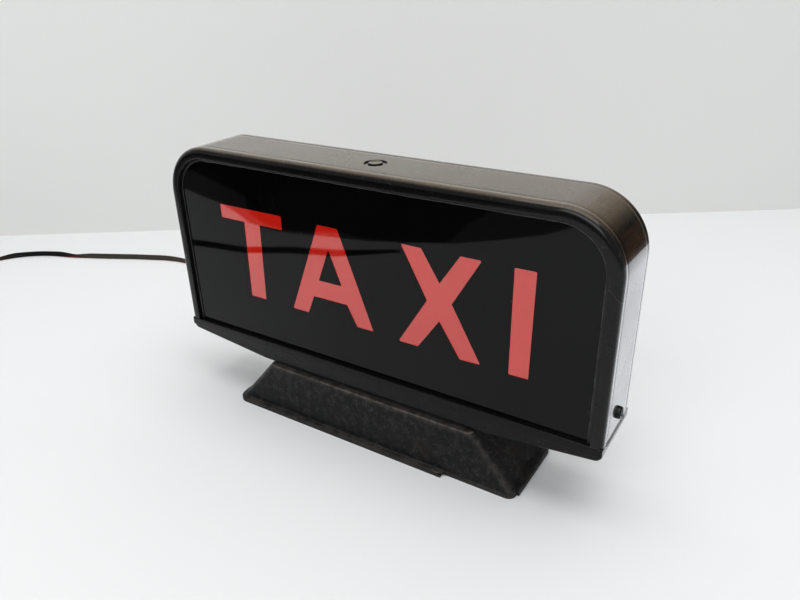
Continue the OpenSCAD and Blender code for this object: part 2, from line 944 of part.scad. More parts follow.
module plug_tip() {
    color([0.8, 0.8, 0.8])
        along_plug() {
            translate([0, 0, tip_flange_x - tip_flange_t])
                cylinder(r = tip_flange_r, h = tip_flange_t);
            translate([0, 0, tip_flange_x - 0.2])
                cylinder(r = tip_r, h = nose_x + nose_l + tip_proud - tip_flange_x);
            translate([0, 0, nose_x + nose_l + tip_proud - 0.2])
                intersection() {
                    sphere(r = tip_r);
                    cylinder(r = tip_r, h = tip_r);
                }
        }
}

module plug_fuse() {
    color([0.85, 0.85, 0.9])
        along_plug()
            translate([0, 0, fuse_x])
                cylinder(r = fuse_r, h = fuse_l);
}

module plug_spring() {
    color([0.7, 0.7, 0.72])
        along_plug()
            translate([0, 0, hollow_x])
                difference() {
                    cylinder(r = spring_out_r, h = fuse_x - hollow_x);
                    translate([0, 0, -1])
                        cylinder(r = spring_in_r, h = fuse_x - hollow_x + 2);
                }
}

// The bowed outline of a side contact, along the plug and outwards.
function bow(out) = [
    for (k = [0 : 8])
        [contact_x + contact_l * k / 8,
            barrel_r - contact_low + out + (contact_bulge + contact_gap) * sin(180 * k / 8)]
];

module plug_contact(side) {
    inner = bow(0);
    outer = bow(contact_t);
    color([0.8, 0.8, 0.8])
        along_plug()
            rotate([0, -90, 0])
                linear_extrude(contact_w, center = true)
                    mirror([0, side < 0 ? 1 : 0])
                        polygon(concat(inner, [for (k = [8 : -1 : 0]) outer[k]]));
}

module plug_contact_front() { plug_contact(-1); }
module plug_contact_back() { plug_contact(1); }

housing_shell();
bottom_tray();
front_lens();
front_mask();
front_seal();
rear_lens();
rear_mask();
rear_seal();
side_screw_left();
side_screw_right();
button_cap();
button_spring();
switch_body();
switch_terminals();
reflector();
reflector_screw_left();
reflector_screw_right();
lamp_holder_left();
lamp_holder_right();
bulb_left();
bulb_right();
terminal_block();
wiring();
spacer_gasket();
foot_cover();
foot_plate();
foot_pad();
magnet_cup_left();
magnet_cup_right();
magnet_ring_left();
magnet_ring_right();
magnet_rivet_left();
magnet_rivet_right();
foot_screw_left();
foot_screw_right();
foot_nut_left();
foot_nut_right();
grommet();
lead_tube();
lead_coil();
lead_tail();
plug_relief();
plug_body();
plug_nose();
plug_tip();
plug_fuse();
plug_spring();
plug_contact_front();
plug_contact_back();
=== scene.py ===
"""The looks of an illuminated taxi roof sign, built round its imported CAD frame.

Metres throughout. +X is to the right seen from the front, the front faces -Y and +Z is up.
"""

import json
import math

import bmesh
import bpy
import numpy as np
from mathutils import Matrix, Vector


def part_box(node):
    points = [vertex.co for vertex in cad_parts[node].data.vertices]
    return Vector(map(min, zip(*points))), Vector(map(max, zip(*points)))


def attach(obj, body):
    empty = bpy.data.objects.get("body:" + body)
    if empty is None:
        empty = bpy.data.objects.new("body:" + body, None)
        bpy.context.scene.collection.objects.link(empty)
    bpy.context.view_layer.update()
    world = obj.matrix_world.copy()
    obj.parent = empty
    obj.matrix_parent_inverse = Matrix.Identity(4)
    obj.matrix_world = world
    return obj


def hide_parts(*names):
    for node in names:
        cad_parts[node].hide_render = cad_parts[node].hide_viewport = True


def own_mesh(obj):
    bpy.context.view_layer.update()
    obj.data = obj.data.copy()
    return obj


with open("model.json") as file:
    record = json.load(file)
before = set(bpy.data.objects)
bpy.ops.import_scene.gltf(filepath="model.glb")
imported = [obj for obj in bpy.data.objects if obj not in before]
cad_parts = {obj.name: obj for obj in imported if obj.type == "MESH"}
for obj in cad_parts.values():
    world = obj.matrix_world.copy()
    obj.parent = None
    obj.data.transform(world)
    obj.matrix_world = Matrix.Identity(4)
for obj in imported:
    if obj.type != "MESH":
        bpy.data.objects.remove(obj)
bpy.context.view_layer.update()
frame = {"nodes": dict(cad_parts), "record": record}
MM = 0.001
TAU = 2 * math.pi


# ---- camera and stage

CAMERA_PLACE = (0.2199, -0.3162, 0.2801)
CAMERA_YAW, CAMERA_PITCH, CAMERA_ROLL = -0.577, 0.456, -0.026
SENSOR_WIDTH, LENS = 36.0, 31.29
WALL_POINT, WALL_TURN = (-0.28, 0.286), math.atan2(0.565, 0.825)


def stand(obj, across, up, back, place):
    """Links an object and gives it these axes, of unit length, and this place."""
    bpy.context.scene.collection.objects.link(obj)
    turn = np.eye(4)
    turn[:3, 0], turn[:3, 1], turn[:3, 2], turn[:3, 3] = across, up, back, place
    obj.matrix_world = Matrix(turn.tolist())


def make_camera():
    """The camera looks along yaw (from +Y towards +X), pitch (downwards) and roll."""
    forward = np.array(
        [
            math.sin(CAMERA_YAW) * math.cos(CAMERA_PITCH),
            math.cos(CAMERA_YAW) * math.cos(CAMERA_PITCH),
            -math.sin(CAMERA_PITCH),
        ]
    )
    level = np.array([math.cos(CAMERA_YAW), -math.sin(CAMERA_YAW), 0.0])
    upward = np.cross(level, forward)
    across = math.cos(CAMERA_ROLL) * level + math.sin(CAMERA_ROLL) * upward
    up = -math.sin(CAMERA_ROLL) * level + math.cos(CAMERA_ROLL) * upward
    data = bpy.data.cameras.new("camera")
    data.sensor_width = SENSOR_WIDTH
    data.lens = LENS
    data.clip_start = 0.01
    camera = bpy.data.objects.new("camera", data)
    stand(camera, across, up, -forward, CAMERA_PLACE)
    bpy.context.scene.camera = camera


make_camera()


# ---- mesh tools

def new_piece(name, points, faces, sharp_degrees=35):
    """A mesh object at the origin, smooth but for edges sharper than sharp_degrees."""
    mesh = bpy.data.meshes.new(name)
    mesh.from_pydata(points.tolist(), [], faces)
    mesh.validate()
    mesh.polygons.foreach_set("use_smooth", [True] * len(mesh.polygons))
    mesh.set_sharp_from_angle(angle=math.radians(sharp_degrees))
    mesh.update()
    obj = bpy.data.objects.new(name, mesh)
    bpy.context.scene.collection.objects.link(obj)
    return obj


def grid_faces(rows, columns, first=0, loop_rows=False, loop_columns=True):
    """The quads of a grid of points, numbered row by row from first, as corner numbers."""
    row = np.arange(rows if loop_rows else rows - 1)
    column = np.arange(columns if loop_columns else columns - 1)
    r, c = np.meshgrid(row, column, indexing="ij")
    r1, c1 = (r + 1) % rows, (c + 1) % columns
    corners = np.stack([r * columns + c, r1 * columns + c, r1 * columns + c1, r * columns + c1], -1)
    return (corners.reshape(-1, 4) + first).tolist()


def tube_mesh(grid, closed_path=False):
    """Points and faces of a tube: grid is (stations, round, 3), capped unless it closes on itself."""
    stations, around = grid.shape[:2]
    faces = grid_faces(stations, around, loop_rows=closed_path)
    if not closed_path:
        faces.append(list(range(around)))
        faces.append(list(range(stations * around - 1, (stations - 1) * around - 1, -1)))
    return grid.reshape(-1, 3), faces


def joined(*parts):
    """Several (points, faces) pairs as one."""
    points, faces, count = [], [], 0
    for some, its_faces in parts:
        points.append(some)
        faces += [[i + count for i in face] for face in its_faces]
        count += len(some)
    return np.concatenate(points), faces


def outward(obj):
    """Turns every face of a closed piece outwards."""
    work = bmesh.new()
    work.from_mesh(obj.data)
    bmesh.ops.recalc_face_normals(work, faces=work.faces)
    work.to_mesh(obj.data)
    work.free()
    return obj


def store(obj, name, values):
    """Keeps one number per vertex as the piece's own attribute, for its material to read."""
    values = np.asarray(values, np.float32).ravel()
    obj.data.attributes.new(name, "FLOAT", "POINT").data.foreach_set("value", values)


def arc(centre, radius, start, end, steps):
    """Points along a circle's arc, from start to end degrees."""
    a = np.radians(np.linspace(start, end, steps))
    return np.stack([centre[0] + radius * np.cos(a), centre[1] + radius * np.sin(a)], -1)


def rounded_rect(width, depth, radius, per_corner=10, per_side=16):
    """A round-cornered rectangle as (n, 2) points, anticlockwise, with points along its sides."""
    x, y = width / 2 - radius, depth / 2 - radius
    centres = [(x, -y), (x, y), (-x, y), (-x, -y)]
    loop = []
    for k, centre in enumerate(centres):
        loop.append(arc(centre, radius, 90 * k - 90, 90 * k, per_corner))
        here, then = loop[-1][-1], np.array(centres[(k + 1) % 4])
        outwards = math.radians(90 * k)
        side = then + radius * np.array([math.cos(outwards), math.sin(outwards)])
        share = np.linspace(0, 1, per_side + 2)[1:-1, None]
        loop.append(here + (side - here) * share)
    return np.concatenate(loop)


def turned(profile, around):
    """The grid (r cos a, r sin a, z) of a profile of (radius r, height z) at even angles a."""
    profile = np.array(profile, float)
    a = np.linspace(0, TAU, around, endpoint=False)
    r, z = profile[:, :1], profile[:, 1:]
    return np.stack([r * np.cos(a), r * np.sin(a), z + 0 * a], -1)


def lathe(profile, around):
    """A profile of (radius, height) points turned about Z, as (points, faces) with closed poles."""
    return tube_mesh(turned(profile, around))


def placed(shape, turn=None, move=(0, 0, 0)):
    """(points, faces) after a 3 by 3 turn and a move."""
    points, faces = shape
    if turn is not None:
        points = points @ np.array(turn, float).T
    return points + np.array(move, float), faces


ALONG_X = [[0, 0, 1], [0, 1, 0], [-1, 0, 0]]
ALONG_MINUS_X = [[0, 0, -1], [0, 1, 0], [1, 0, 0]]


def smooth_step(x, low, high):
    """0 below low, 1 above high, and a smooth rise between."""
    t = np.clip((x - low) / (high - low), 0, 1)
    return t * t * (3 - 2 * t)


def bell(x, width):
    """exp of minus (x over width) squared: 1 at x = 0, and nearly 0 beyond two widths."""
    return np.exp(-((x / width) ** 2))


def smooth_path(points, spacing):
    """A Catmull-Rom curve through the points, sampled at an even spacing along its length."""
    p = np.array(points, float)
    ends = np.concatenate([[2 * p[0] - p[1]], p, [2 * p[-1] - p[-2]]])
    t = np.linspace(0, 1, 24, endpoint=False)[:, None]
    pieces = []
    for i in range(len(p) - 1):
        a, b, c, d = ends[i : i + 4]
        square, cube = 2 * a - 5 * b + 4 * c - d, 3 * b - a - 3 * c + d
        pieces.append(0.5 * (2 * b + (c - a) * t + square * t**2 + cube * t**3))
    line = np.concatenate([*pieces, p[-1:]])
    run = np.concatenate([[0], np.cumsum(np.linalg.norm(np.diff(line, axis=0), axis=1))])
    at = np.linspace(0, run[-1], max(2, int(run[-1] / spacing) + 1))
    return np.stack([np.interp(at, run, line[:, k]) for k in range(3)], -1)


def frames_along(line):
    """The headings, level sideways directions and upward directions along a line."""
    heading = np.gradient(line, axis=0)
    heading /= np.linalg.norm(heading, axis=1)[:, None]
    side = np.cross(heading, [0, 0, 1.0])
    side /= np.linalg.norm(side, axis=1)[:, None]
    return heading, side, np.cross(side, heading)


# ---- materials

class Finish:
    """A material on one Principled shader, with short names for the nodes it is built from."""

    def __init__(self, name, colour=(0.5, 0.5, 0.5), roughness=0.5, **sockets):
        self.material = bpy.data.materials.new(name)
        self.material.use_nodes = True
        self.nodes, self.links = self.material.node_tree.nodes, self.material.node_tree.links
        self.shader = self.nodes["Principled BSDF"]
        self.shader.inputs["Base Color"].default_value = (*colour, 1)
        self.shader.inputs["Roughness"].default_value = roughness
        for socket, value in sockets.items():
            self.shader.inputs[socket.replace("_", " ")].default_value = value
        self.place = self.nodes.new("ShaderNodeTexCoord").outputs["Object"]

    def put(self, socket, value):
        """Links an output, or sets a value, on a socket."""
        if isinstance(value, bpy.types.NodeSocket):
            self.links.new(value, socket)
        else:
            socket.default_value = value

    def node(self, kind, output=0, **inputs):
        """Adds a node with the named inputs and returns one of its outputs."""
        made = self.nodes.new(kind)
        for name, value in inputs.items():
            self.put(made.inputs[name], value)
        return made.outputs[output]

    def stretched(self, scale, turn=(0, 0, 0)):
        """Object coordinates, scaled and turned."""
        return self.node("ShaderNodeMapping", Vector=self.place, Scale=scale, Rotation=turn)

    def noise(self, scale, detail=3, roughness=0.5, distortion=0.0, place=None):
        """Fractal noise with scale features to the metre."""
        return self.node(
            "ShaderNodeTexNoise",
            Vector=place or self.place,
            Scale=scale,
            Detail=detail,
            Roughness=roughness,
            Distortion=distortion,
        )

    def cells(self, scale, feature="DISTANCE_TO_EDGE", place=None):
        """Distance to the edge of the nearest random cell, or to its point for the feature F1."""
        made = self.nodes.new("ShaderNodeTexVoronoi")
        made.feature = feature
        self.put(made.inputs["Vector"], place or self.place)
        self.put(made.inputs["Scale"], scale)
        return made.outputs["Distance"]

    def attribute(self, name):
        """The number that the piece stores at each vertex under this name."""
        made = self.nodes.new("ShaderNodeAttribute")
        made.attribute_name = name
        return made.outputs["Fac"]

    def ramp(self, value, *stops):
        """A colour ramp: each stop is (place, grey or colour)."""
        made = self.nodes.new("ShaderNodeValToRGB")
        self.put(made.inputs["Fac"], value)
        elements = made.color_ramp.elements
        while len(elements) < len(stops):
            elements.new(0.5)
        for element, (place, colour) in zip(elements, stops):
            element.position = place
            colour = (colour,) * 3 if isinstance(colour, (int, float)) else colour
            element.color = (*colour, 1)
        return made.outputs["Color"]

    def maths(self, operation, a, b):
        """One operation on two numbers or outputs."""
        made = self.nodes.new("ShaderNodeMath")
        made.operation = operation
        self.put(made.inputs[0], a)
        self.put(made.inputs[1], b)
        return made.outputs[0]

    def mix(self, factor, a, b):
        """A colour between a and b."""
        made = self.nodes.new("ShaderNodeMix")
        made.data_type = "RGBA"
        self.put(made.inputs["Factor"], factor)
        for socket, colour in ((made.inputs[6], a), (made.inputs[7], b)):
            if isinstance(colour, tuple):
                colour = (*colour, 1)
            self.put(socket, colour)
        return made.outputs[2]

    def bump(self, height, distance, strength=1.0):
        """Raises the surface by height times distance, in metres."""
        made = self.nodes.new("ShaderNodeBump")
        self.put(made.inputs["Height"], height)
        self.put(made.inputs["Distance"], distance)
        self.put(made.inputs["Strength"], strength)
        before = self.shader.inputs["Normal"].links
        if before:
            self.links.new(before[0].from_socket, made.inputs["Normal"])
        self.links.new(made.outputs["Normal"], self.shader.inputs["Normal"])

    def colour(self, value):
        self.put(self.shader.inputs["Base Color"], value)

    def rough(self, value):
        self.put(self.shader.inputs["Roughness"], value)

    def scratches(self, scale, turn, thin=0.02, amount=0.5):
        """1 on fine straight marks that run one way and are broken up by a slow noise."""
        lines = self.cells(scale, place=self.stretched((1, 0.04, 0.3), turn))
        mark = self.maths("LESS_THAN", lines, thin)
        some = self.maths("GREATER_THAN", self.noise(scale * 0.35), 1 - amount)
        return self.maths("MULTIPLY", mark, some)

    def specks(self, scale, size=0.08, amount=0.35):
        """1 on small round specks of dust, scattered thinly."""
        dots = self.maths("LESS_THAN", self.cells(scale, "F1"), size)
        some = self.maths("GREATER_THAN", self.noise(scale * 0.21, detail=1), 1 - amount)
        return self.maths("MULTIPLY", dots, some)


def shell_plastic(name, coat=1.0, coat_roughness=0.05):
    """Black glossy moulding: waves in the gloss, hairlines, a pale warm tint on upward faces, pale edges.
    """
    f = Finish(
        name,
        (0.02, 0.019, 0.018),
        0.25,
        Specular_IOR_Level=0.14,
        Coat_Weight=coat,
        Coat_Roughness=coat_roughness,
        Coat_IOR=1.32,
    )
    one_way = f.scratches(160, (0.3, 0.2, 0.9), 0.006, 0.36)
    marks = f.maths("MAXIMUM", one_way, f.scratches(110, (1.1, 0.7, 2.2), 0.005, 0.36))
    cloud = f.ramp(f.noise(9, 4), (0.3, (0.004, 0.004, 0.004)), (0.75, (0.009, 0.0085, 0.008)))
    # A pale warm tint over upward faces, mottled by noise and a fine grain.
    film = f.maths("MULTIPLY", f.attribute("pale_tint"), f.ramp(f.noise(60, 5, 0.65), (0.3, 0.75), (0.7, 1.0)))
    grain = f.ramp(f.noise(1500, 2), (0.35, 0.6), (0.65, 1.0))
    colour = f.mix(f.maths("MULTIPLY", film, grain), cloud, (0.135, 0.102, 0.068))
    bare = f.maths("SUBTRACT", 0.12, f.maths("MULTIPLY", f.attribute("pale_tint"), 0.12))
    colour = f.mix(f.maths("MULTIPLY", marks, bare), colour, (0.32, 0.31, 0.29))
    colour = f.mix(f.maths("MULTIPLY", f.specks(420, 0.06, 0.36), 0.3), colour, (0.34, 0.33, 0.31))
    chips = f.ramp(f.noise(330, 5, 0.7), (0.6, 0.0), (0.66, 1.0))
    wear = f.maths("MULTIPLY", f.attribute("edge"), chips)
    f.colour(f.mix(f.maths("MULTIPLY", wear, 0.2), colour, (0.16, 0.15, 0.14)))
    f.rough(f.ramp(f.noise(30, 5), (0.3, 0.22), (0.7, 0.32)))
    f.bump(f.noise(24, 2), 0.0002, 0.15)
    f.bump(f.noise(900, 2), 0.000012, 0.3)
    return f.material


def gloss_film():
    """Black vinyl film: deep gloss, slightly wavy, with a few specks and faint wiping marks."""
    f = Finish("gloss_film", (0.003, 0.003, 0.0035), 0.04, Specular_IOR_Level=0.29)
    marks = f.scratches(60, (0.2, 1.3, 0.6), 0.002, 0.3)
    colour = f.ramp(f.noise(14, 4), (0.3, (0.002, 0.002, 0.0024)), (0.75, (0.0045, 0.0045, 0.005)))
    colour = f.mix(f.maths("MULTIPLY", marks, 0.12), colour, (0.2, 0.2, 0.2))
    colour = f.mix(f.maths("MULTIPLY", f.specks(230, 0.05, 0.35), 0.6), colour, (0.3, 0.3, 0.28))
    f.colour(colour)
    f.rough(f.ramp(f.noise(22, 5), (0.35, 0.025), (0.75, 0.05)))
    f.bump(f.noise(9, 1), 0.0003, 0.25)
    return f.material


def red_acrylic():
    """Red translucent sheet: glossy, slightly paler where the light gets into it."""
    f = Finish(
        "red_acrylic",
        (0.55, 0.02, 0.01),
        0.05,
        Specular_IOR_Level=1.0,
        Coat_Weight=1.0,
        Coat_Roughness=0.03,
        Subsurface_Weight=0.2,
        Subsurface_Scale=0.0015,
    )
    f.shader.inputs["Subsurface Radius"].default_value = (1.0, 0.1, 0.08)
    f.colour(f.ramp(f.noise(20, 3), (0.3, (0.5, 0.016, 0.008)), (0.75, (0.58, 0.026, 0.013))))
    f.rough(f.ramp(f.noise(120, 4), (0.4, 0.035), (0.75, 0.07)))
    f.bump(f.noise(9, 1), 0.0003, 0.25)
    return f.material


def sealant():
    """Black sealant, pale in uneven patches along its inner rim."""
    f = Finish("sealant", (0.02, 0.02, 0.02), 0.35)
    # Uneven pale patches along the bead's inner rim.
    paleness = f.ramp(f.noise(170, 6, 0.75), (0.42, 0.03), (0.62, 0.9))
    pale = f.maths("MULTIPLY", f.attribute("edge"), paleness)
    f.colour(f.mix(pale, (0.006, 0.006, 0.006), (0.22, 0.22, 0.2)))
    f.bump(f.noise(900, 3), 0.0001, 0.6)
    return f.material


def scuffed_rubber():
    """The foot's leathery black skin: pebbled grain, short curved hairlines, brown patches, and pale edges
    that are partly wear and partly a painted highlight.
    """
    f = Finish("scuffed_rubber", (0.02, 0.018, 0.017), 0.4, Specular_IOR_Level=0.26)
    blotch = f.noise(34, 7, 0.62, 0.4)
    black, grey, brown = (0.002, 0.0028, 0.0032), (0.006, 0.0064, 0.0066), (0.024, 0.015, 0.011)
    base = f.ramp(blotch, (0.38, black), (0.58, grey), (0.8, brown))
    drift = f.node("ShaderNodeTexNoise", "Color", Vector=f.place, Scale=55)
    bend = f.nodes.new("ShaderNodeVectorMath")
    bend.operation = "MULTIPLY_ADD"
    for socket, value in zip(bend.inputs, (drift, (0.02, 0.02, 0.02), f.place)):
        f.put(socket, value)
    hairs = []
    for turn in ((0.4, 0.9, 0.3), (1.2, -0.5, 1.9)):
        long_way = f.node("ShaderNodeMapping", Vector=bend.outputs[0], Scale=(1, 0.12, 0.12), Rotation=turn)
        line = f.maths("LESS_THAN", f.cells(900, place=long_way), 0.05)
        patch = f.ramp(f.noise(190, 3), (0.46, 0.0), (0.6, 1.0))
        hairs.append(f.maths("MULTIPLY", line, patch))
    scuff = f.maths("MAXIMUM", *hairs)
    # Pale edges: real wear and scratches, with a painted highlight along the top edge, corner ridges and
    # lip rim.
    rubbed = f.ramp(f.noise(150, 4, 0.7), (0.38, 0.25), (0.6, 1.0))
    wear_and_highlight = f.maths("MULTIPLY", f.attribute("edge"), rubbed)
    grain = f.ramp(f.noise(1300, 2), (0.5, 0.0), (0.7, 1.0))
    colour = f.mix(f.maths("MULTIPLY", grain, 0.35), base, (0.05, 0.046, 0.044))
    colour = f.mix(f.maths("MULTIPLY", scuff, 0.36), colour, (0.075, 0.07, 0.068))
    colour = f.mix(f.maths("MULTIPLY", wear_and_highlight, 0.6), colour, (0.17, 0.15, 0.135))
    colour = f.mix(f.maths("MULTIPLY", f.specks(520, 0.09, 0.4), 0.4), colour, (0.25, 0.23, 0.21))
    f.colour(colour)
    f.rough(f.ramp(blotch, (0.3, 0.34), (0.75, 0.55)))
    f.bump(f.cells(700), 0.0001, 0.5)
    f.bump(f.noise(90, 5, 0.65), 0.0003, 0.6)
    f.bump(scuff, 0.00005, 0.5)
    return f.material


def plain_rubber():
    """Dull black rubber with a fine grain and grey dust."""
    f = Finish("plain_rubber", (0.02, 0.02, 0.02), 0.6)
    f.colour(f.ramp(f.noise(70, 6, 0.6), (0.35, (0.01, 0.01, 0.01)), (0.75, (0.045, 0.042, 0.04))))
    f.rough(f.ramp(f.noise(200, 3), (0.3, 0.48), (0.7, 0.7)))
    f.bump(f.noise(1600, 3), 0.00005, 0.5)
    return f.material


def moulded_plastic(name, colour, roughness):
    """Fine-grained moulded plastic: spark-eroded texture and a slow change in its gloss."""
    f = Finish(name, colour, roughness)
    darker = tuple(0.75 * c for c in colour)
    lighter = tuple(min(1, 1.25 * c + 0.003) for c in colour)
    f.colour(f.ramp(f.noise(120, 5, 0.6), (0.3, darker), (0.7, lighter)))
    f.rough(f.ramp(f.noise(60, 4), (0.3, roughness * 0.8), (0.7, min(1, roughness * 1.2))))
    f.bump(f.noise(2500, 2), 0.00003, 0.4)
    return f.material


def plated_metal(name, colour, roughness):
    """Plated steel or brass: fine drawn or turned lines, slight stains, nicks."""
    f = Finish(name, colour, roughness, Metallic=1.0)
    stain = f.noise(180, 5, 0.6)
    f.colour(f.ramp(stain, (0.35, tuple(0.72 * c for c in colour)), (0.65, colour)))
    f.rough(f.ramp(stain, (0.3, roughness * 1.35), (0.7, roughness * 0.8)))
    lines = f.noise(1.0, 3, place=f.stretched((300, 300, 6000)))
    f.bump(lines, 0.00001, 0.4)
    return f.material


def black_oxide():
    """Black screw: satin, rubbed to steel on its high spots."""
    f = Finish("black_oxide", (0.02, 0.02, 0.021), 0.32, Metallic=0.6)
    rub = f.ramp(f.noise(900, 4, 0.7), (0.6, 0.0), (0.7, 1.0))
    f.colour(f.mix(f.maths("MULTIPLY", rub, 0.5), (0.018, 0.018, 0.019), (0.3, 0.29, 0.28)))
    f.bump(f.noise(1500, 3), 0.00003, 0.5)
    return f.material


def white_paint():
    """White stoved paint with a slight orange peel."""
    f = Finish("white_paint", (0.82, 0.82, 0.8), 0.35)
    f.colour(f.ramp(f.noise(40, 5), (0.3, (0.76, 0.755, 0.73)), (0.7, (0.85, 0.85, 0.835))))
    f.bump(f.noise(700, 2), 0.00004, 0.4)
    return f.material


def lamp_glass():
    """Clear lamp glass with a faint haze."""
    f = Finish("lamp_glass", (0.96, 0.96, 0.96), 0.03, Transmission_Weight=1.0, IOR=1.45)
    f.rough(f.ramp(f.noise(90, 4), (0.4, 0.02), (0.8, 0.12)))
    return f.material


def ferrite():
    """Dull dark sintered ferrite."""
    f = Finish("ferrite", (0.05, 0.05, 0.055), 0.55, Metallic=0.3)
    f.colour(f.ramp(f.noise(500, 5, 0.7), (0.3, (0.035, 0.035, 0.04)), (0.7, (0.09, 0.09, 0.095))))
    f.bump(f.noise(1800, 3), 0.00005, 0.6)
    return f.material


def twin_insulation():
    """Black PVC of the twin lead, grey-brown along one stretch as a painted reflection, with a red line
    where the line attribute is 1.
    """
    f = Finish("twin_insulation", (0.02, 0.02, 0.02), 0.3, Specular_IOR_Level=0.2)
    red = f.ramp(f.noise(90, 4), (0.3, (0.16, 0.03, 0.02)), (0.7, (0.24, 0.05, 0.035)))
    black = f.ramp(f.noise(90, 4), (0.3, (0.003, 0.003, 0.003)), (0.7, (0.008, 0.0075, 0.007)))
    # Painted reflection: grey-brown along one stretch of the lead.
    black = f.mix(f.attribute("pale_tint"), black, (0.05, 0.044, 0.038))
    f.colour(f.mix(f.ramp(f.attribute("line"), (0.4, 0.0), (0.6, 1.0)), black, red))
    f.rough(f.ramp(f.noise(300, 3), (0.3, 0.26), (0.7, 0.42)))
    f.bump(f.noise(500, 3), 0.00005, 0.5)
    return f.material


def wire_insulation():
    """Thin PVC wire, red."""
    f = Finish("wire_insulation", (0.35, 0.02, 0.02), 0.35)
    f.colour(f.ramp(f.noise(300, 4), (0.3, (0.28, 0.015, 0.015)), (0.7, (0.42, 0.03, 0.03))))
    f.bump(f.noise(700, 3), 0.00004, 0.5)
    return f.material


FINISHES = {
    "black_plastic": shell_plastic("housing_plastic"),
    "tray_plastic": shell_plastic("tray_plastic", 0.5, 0.15),
    "black_film": gloss_film(),
    "red_lens": red_acrylic(),
    "grey_sealant": sealant(),
    "black_screw": black_oxide(),
    "button_plastic": shell_plastic("button_plastic"),
    "spring_steel": plated_metal("spring_steel", (0.6, 0.6, 0.62), 0.25),
    "switch_plastic": moulded_plastic("switch_plastic", (0.05, 0.05, 0.055), 0.45),
    "tinned_brass": plated_metal("contact_brass", (0.72, 0.55, 0.25), 0.3),
    "white_steel": white_paint(),
    "zinc_steel": plated_metal("zinc_steel", (0.62, 0.62, 0.62), 0.35),
    "holder_plastic": moulded_plastic("holder_plastic", (0.06, 0.06, 0.06), 0.5),
    "lamp_glass": lamp_glass(),
    "block_plastic": moulded_plastic("block_plastic", (0.72, 0.72, 0.68), 0.45),
    "wire_pvc": wire_insulation(),
    "pad_rubber": plain_rubber(),
    "foot_rubber": scuffed_rubber(),
    "ferrite": ferrite(),
    "cord_pvc": twin_insulation(),
    "plug_plastic": moulded_plastic("plug_plastic", (0.022, 0.022, 0.022), 0.42),
    "plug_metal": plated_metal("plug_metal", (0.72, 0.72, 0.74), 0.2),
}


def dress(obj, finish):
    """Gives a piece one finish."""
    obj.data.materials.clear()
    obj.data.materials.append(FINISHES[finish])
    return obj


def fit_out(obj, body, finish, slot, *nodes):
    """Dresses a new piece, ties it to its CAD body and hides the CAD nodes it replaces; slot is not used.
    """
    dress(obj, finish)
    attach(obj, body)
    if nodes:
        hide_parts(*nodes)
    return obj


for entry in frame["record"]["subparts"]:
    dress(frame["nodes"][entry["node"]], entry["material_slot"])


# ---- the lead

LEAD_THICK = 2.6 * MM
CORD_LEVEL = 2.6
LEAD_DROP = [
    (-40, 23, 12), (-40, 31, 12), (-40, 38, 12), (-41, 46, 11.4), (-44, 55, 10.2), (-50, 65, 8.4),
    (-59, 75, 6.4), (-71, 84, 4.6), (-86, 91, 3.4), (-104, 96, 2.8),
]  # fmt: skip
LEAD_LYING = [
    (-124, 100), (-146, 104), (-170, 108), (-195, 112), (-220, 116), (-245, 120), (-270, 123),
    (-295, 126), (-318, 127), (-340, 126), (-358, 121), (-374, 114), (-390, 107), (-406, 99),
    (-422, 91), (-438, 84), (-454, 77), (-472, 70), (-488, 62), (-501, 52), (-512, 40), (-519, 26),
    (-522, 10), (-522, -7),
]  # fmt: skip
TWIST = [
    (0, 0), (0.2, 0), (0.32, 0), (0.35, 20), (0.365, 58), (0.44, 62), (0.455, 40), (0.464, 0),
    (0.474, 0), (0.485, 60), (0.496, 96), (0.53, 96), (0.546, 20), (0.556, 0), (2, 0),
]  # fmt: skip
COIL_CENTRE = (-550, -20)
COIL_TURNS = 4.22
COIL_SPOTS = [(28, 2.6), (30.4, 2.6), (25.4, 2.6), (25.6, 5.9), (30.6, 6.2), (28, 3.4)]
TAIL_ROUTE = [
    (-557, -48, 2.6), (-566, -48, 2.6), (-574, -50, 2.6), (-581, -55, 2.6),
    (-585, -61, 2.6), (-587, -69, 2.6), (-585, -77, 2.6), (-581, -83, 2.7), (-574, -88, 3.4),
    (-566, -90, 4.6), (-557, -90, 6.8), (-548, -90, 9.4), (-540, -90, 11.2), (-532, -90, 12),
    (-514, -90, 12),
]  # fmt: skip


def coil_route():
    """The coil's turns: clockwise, each at its own radius and height in the bundle."""
    turns = np.linspace(0.08, COIL_TURNS, 90)
    spots = np.array(COIL_SPOTS)
    marks = np.array([0, 0.35, 1.3, 2.3, 3.3, COIL_TURNS])
    radius = np.interp(turns, marks, spots[:, 0])
    height = np.interp(turns, marks, spots[:, 1])
    angle = -TAU * turns
    x = COIL_CENTRE[0] + radius * np.cos(angle)
    y = COIL_CENTRE[1] + radius * np.sin(angle)
    return np.stack([x, y, height], -1).tolist()


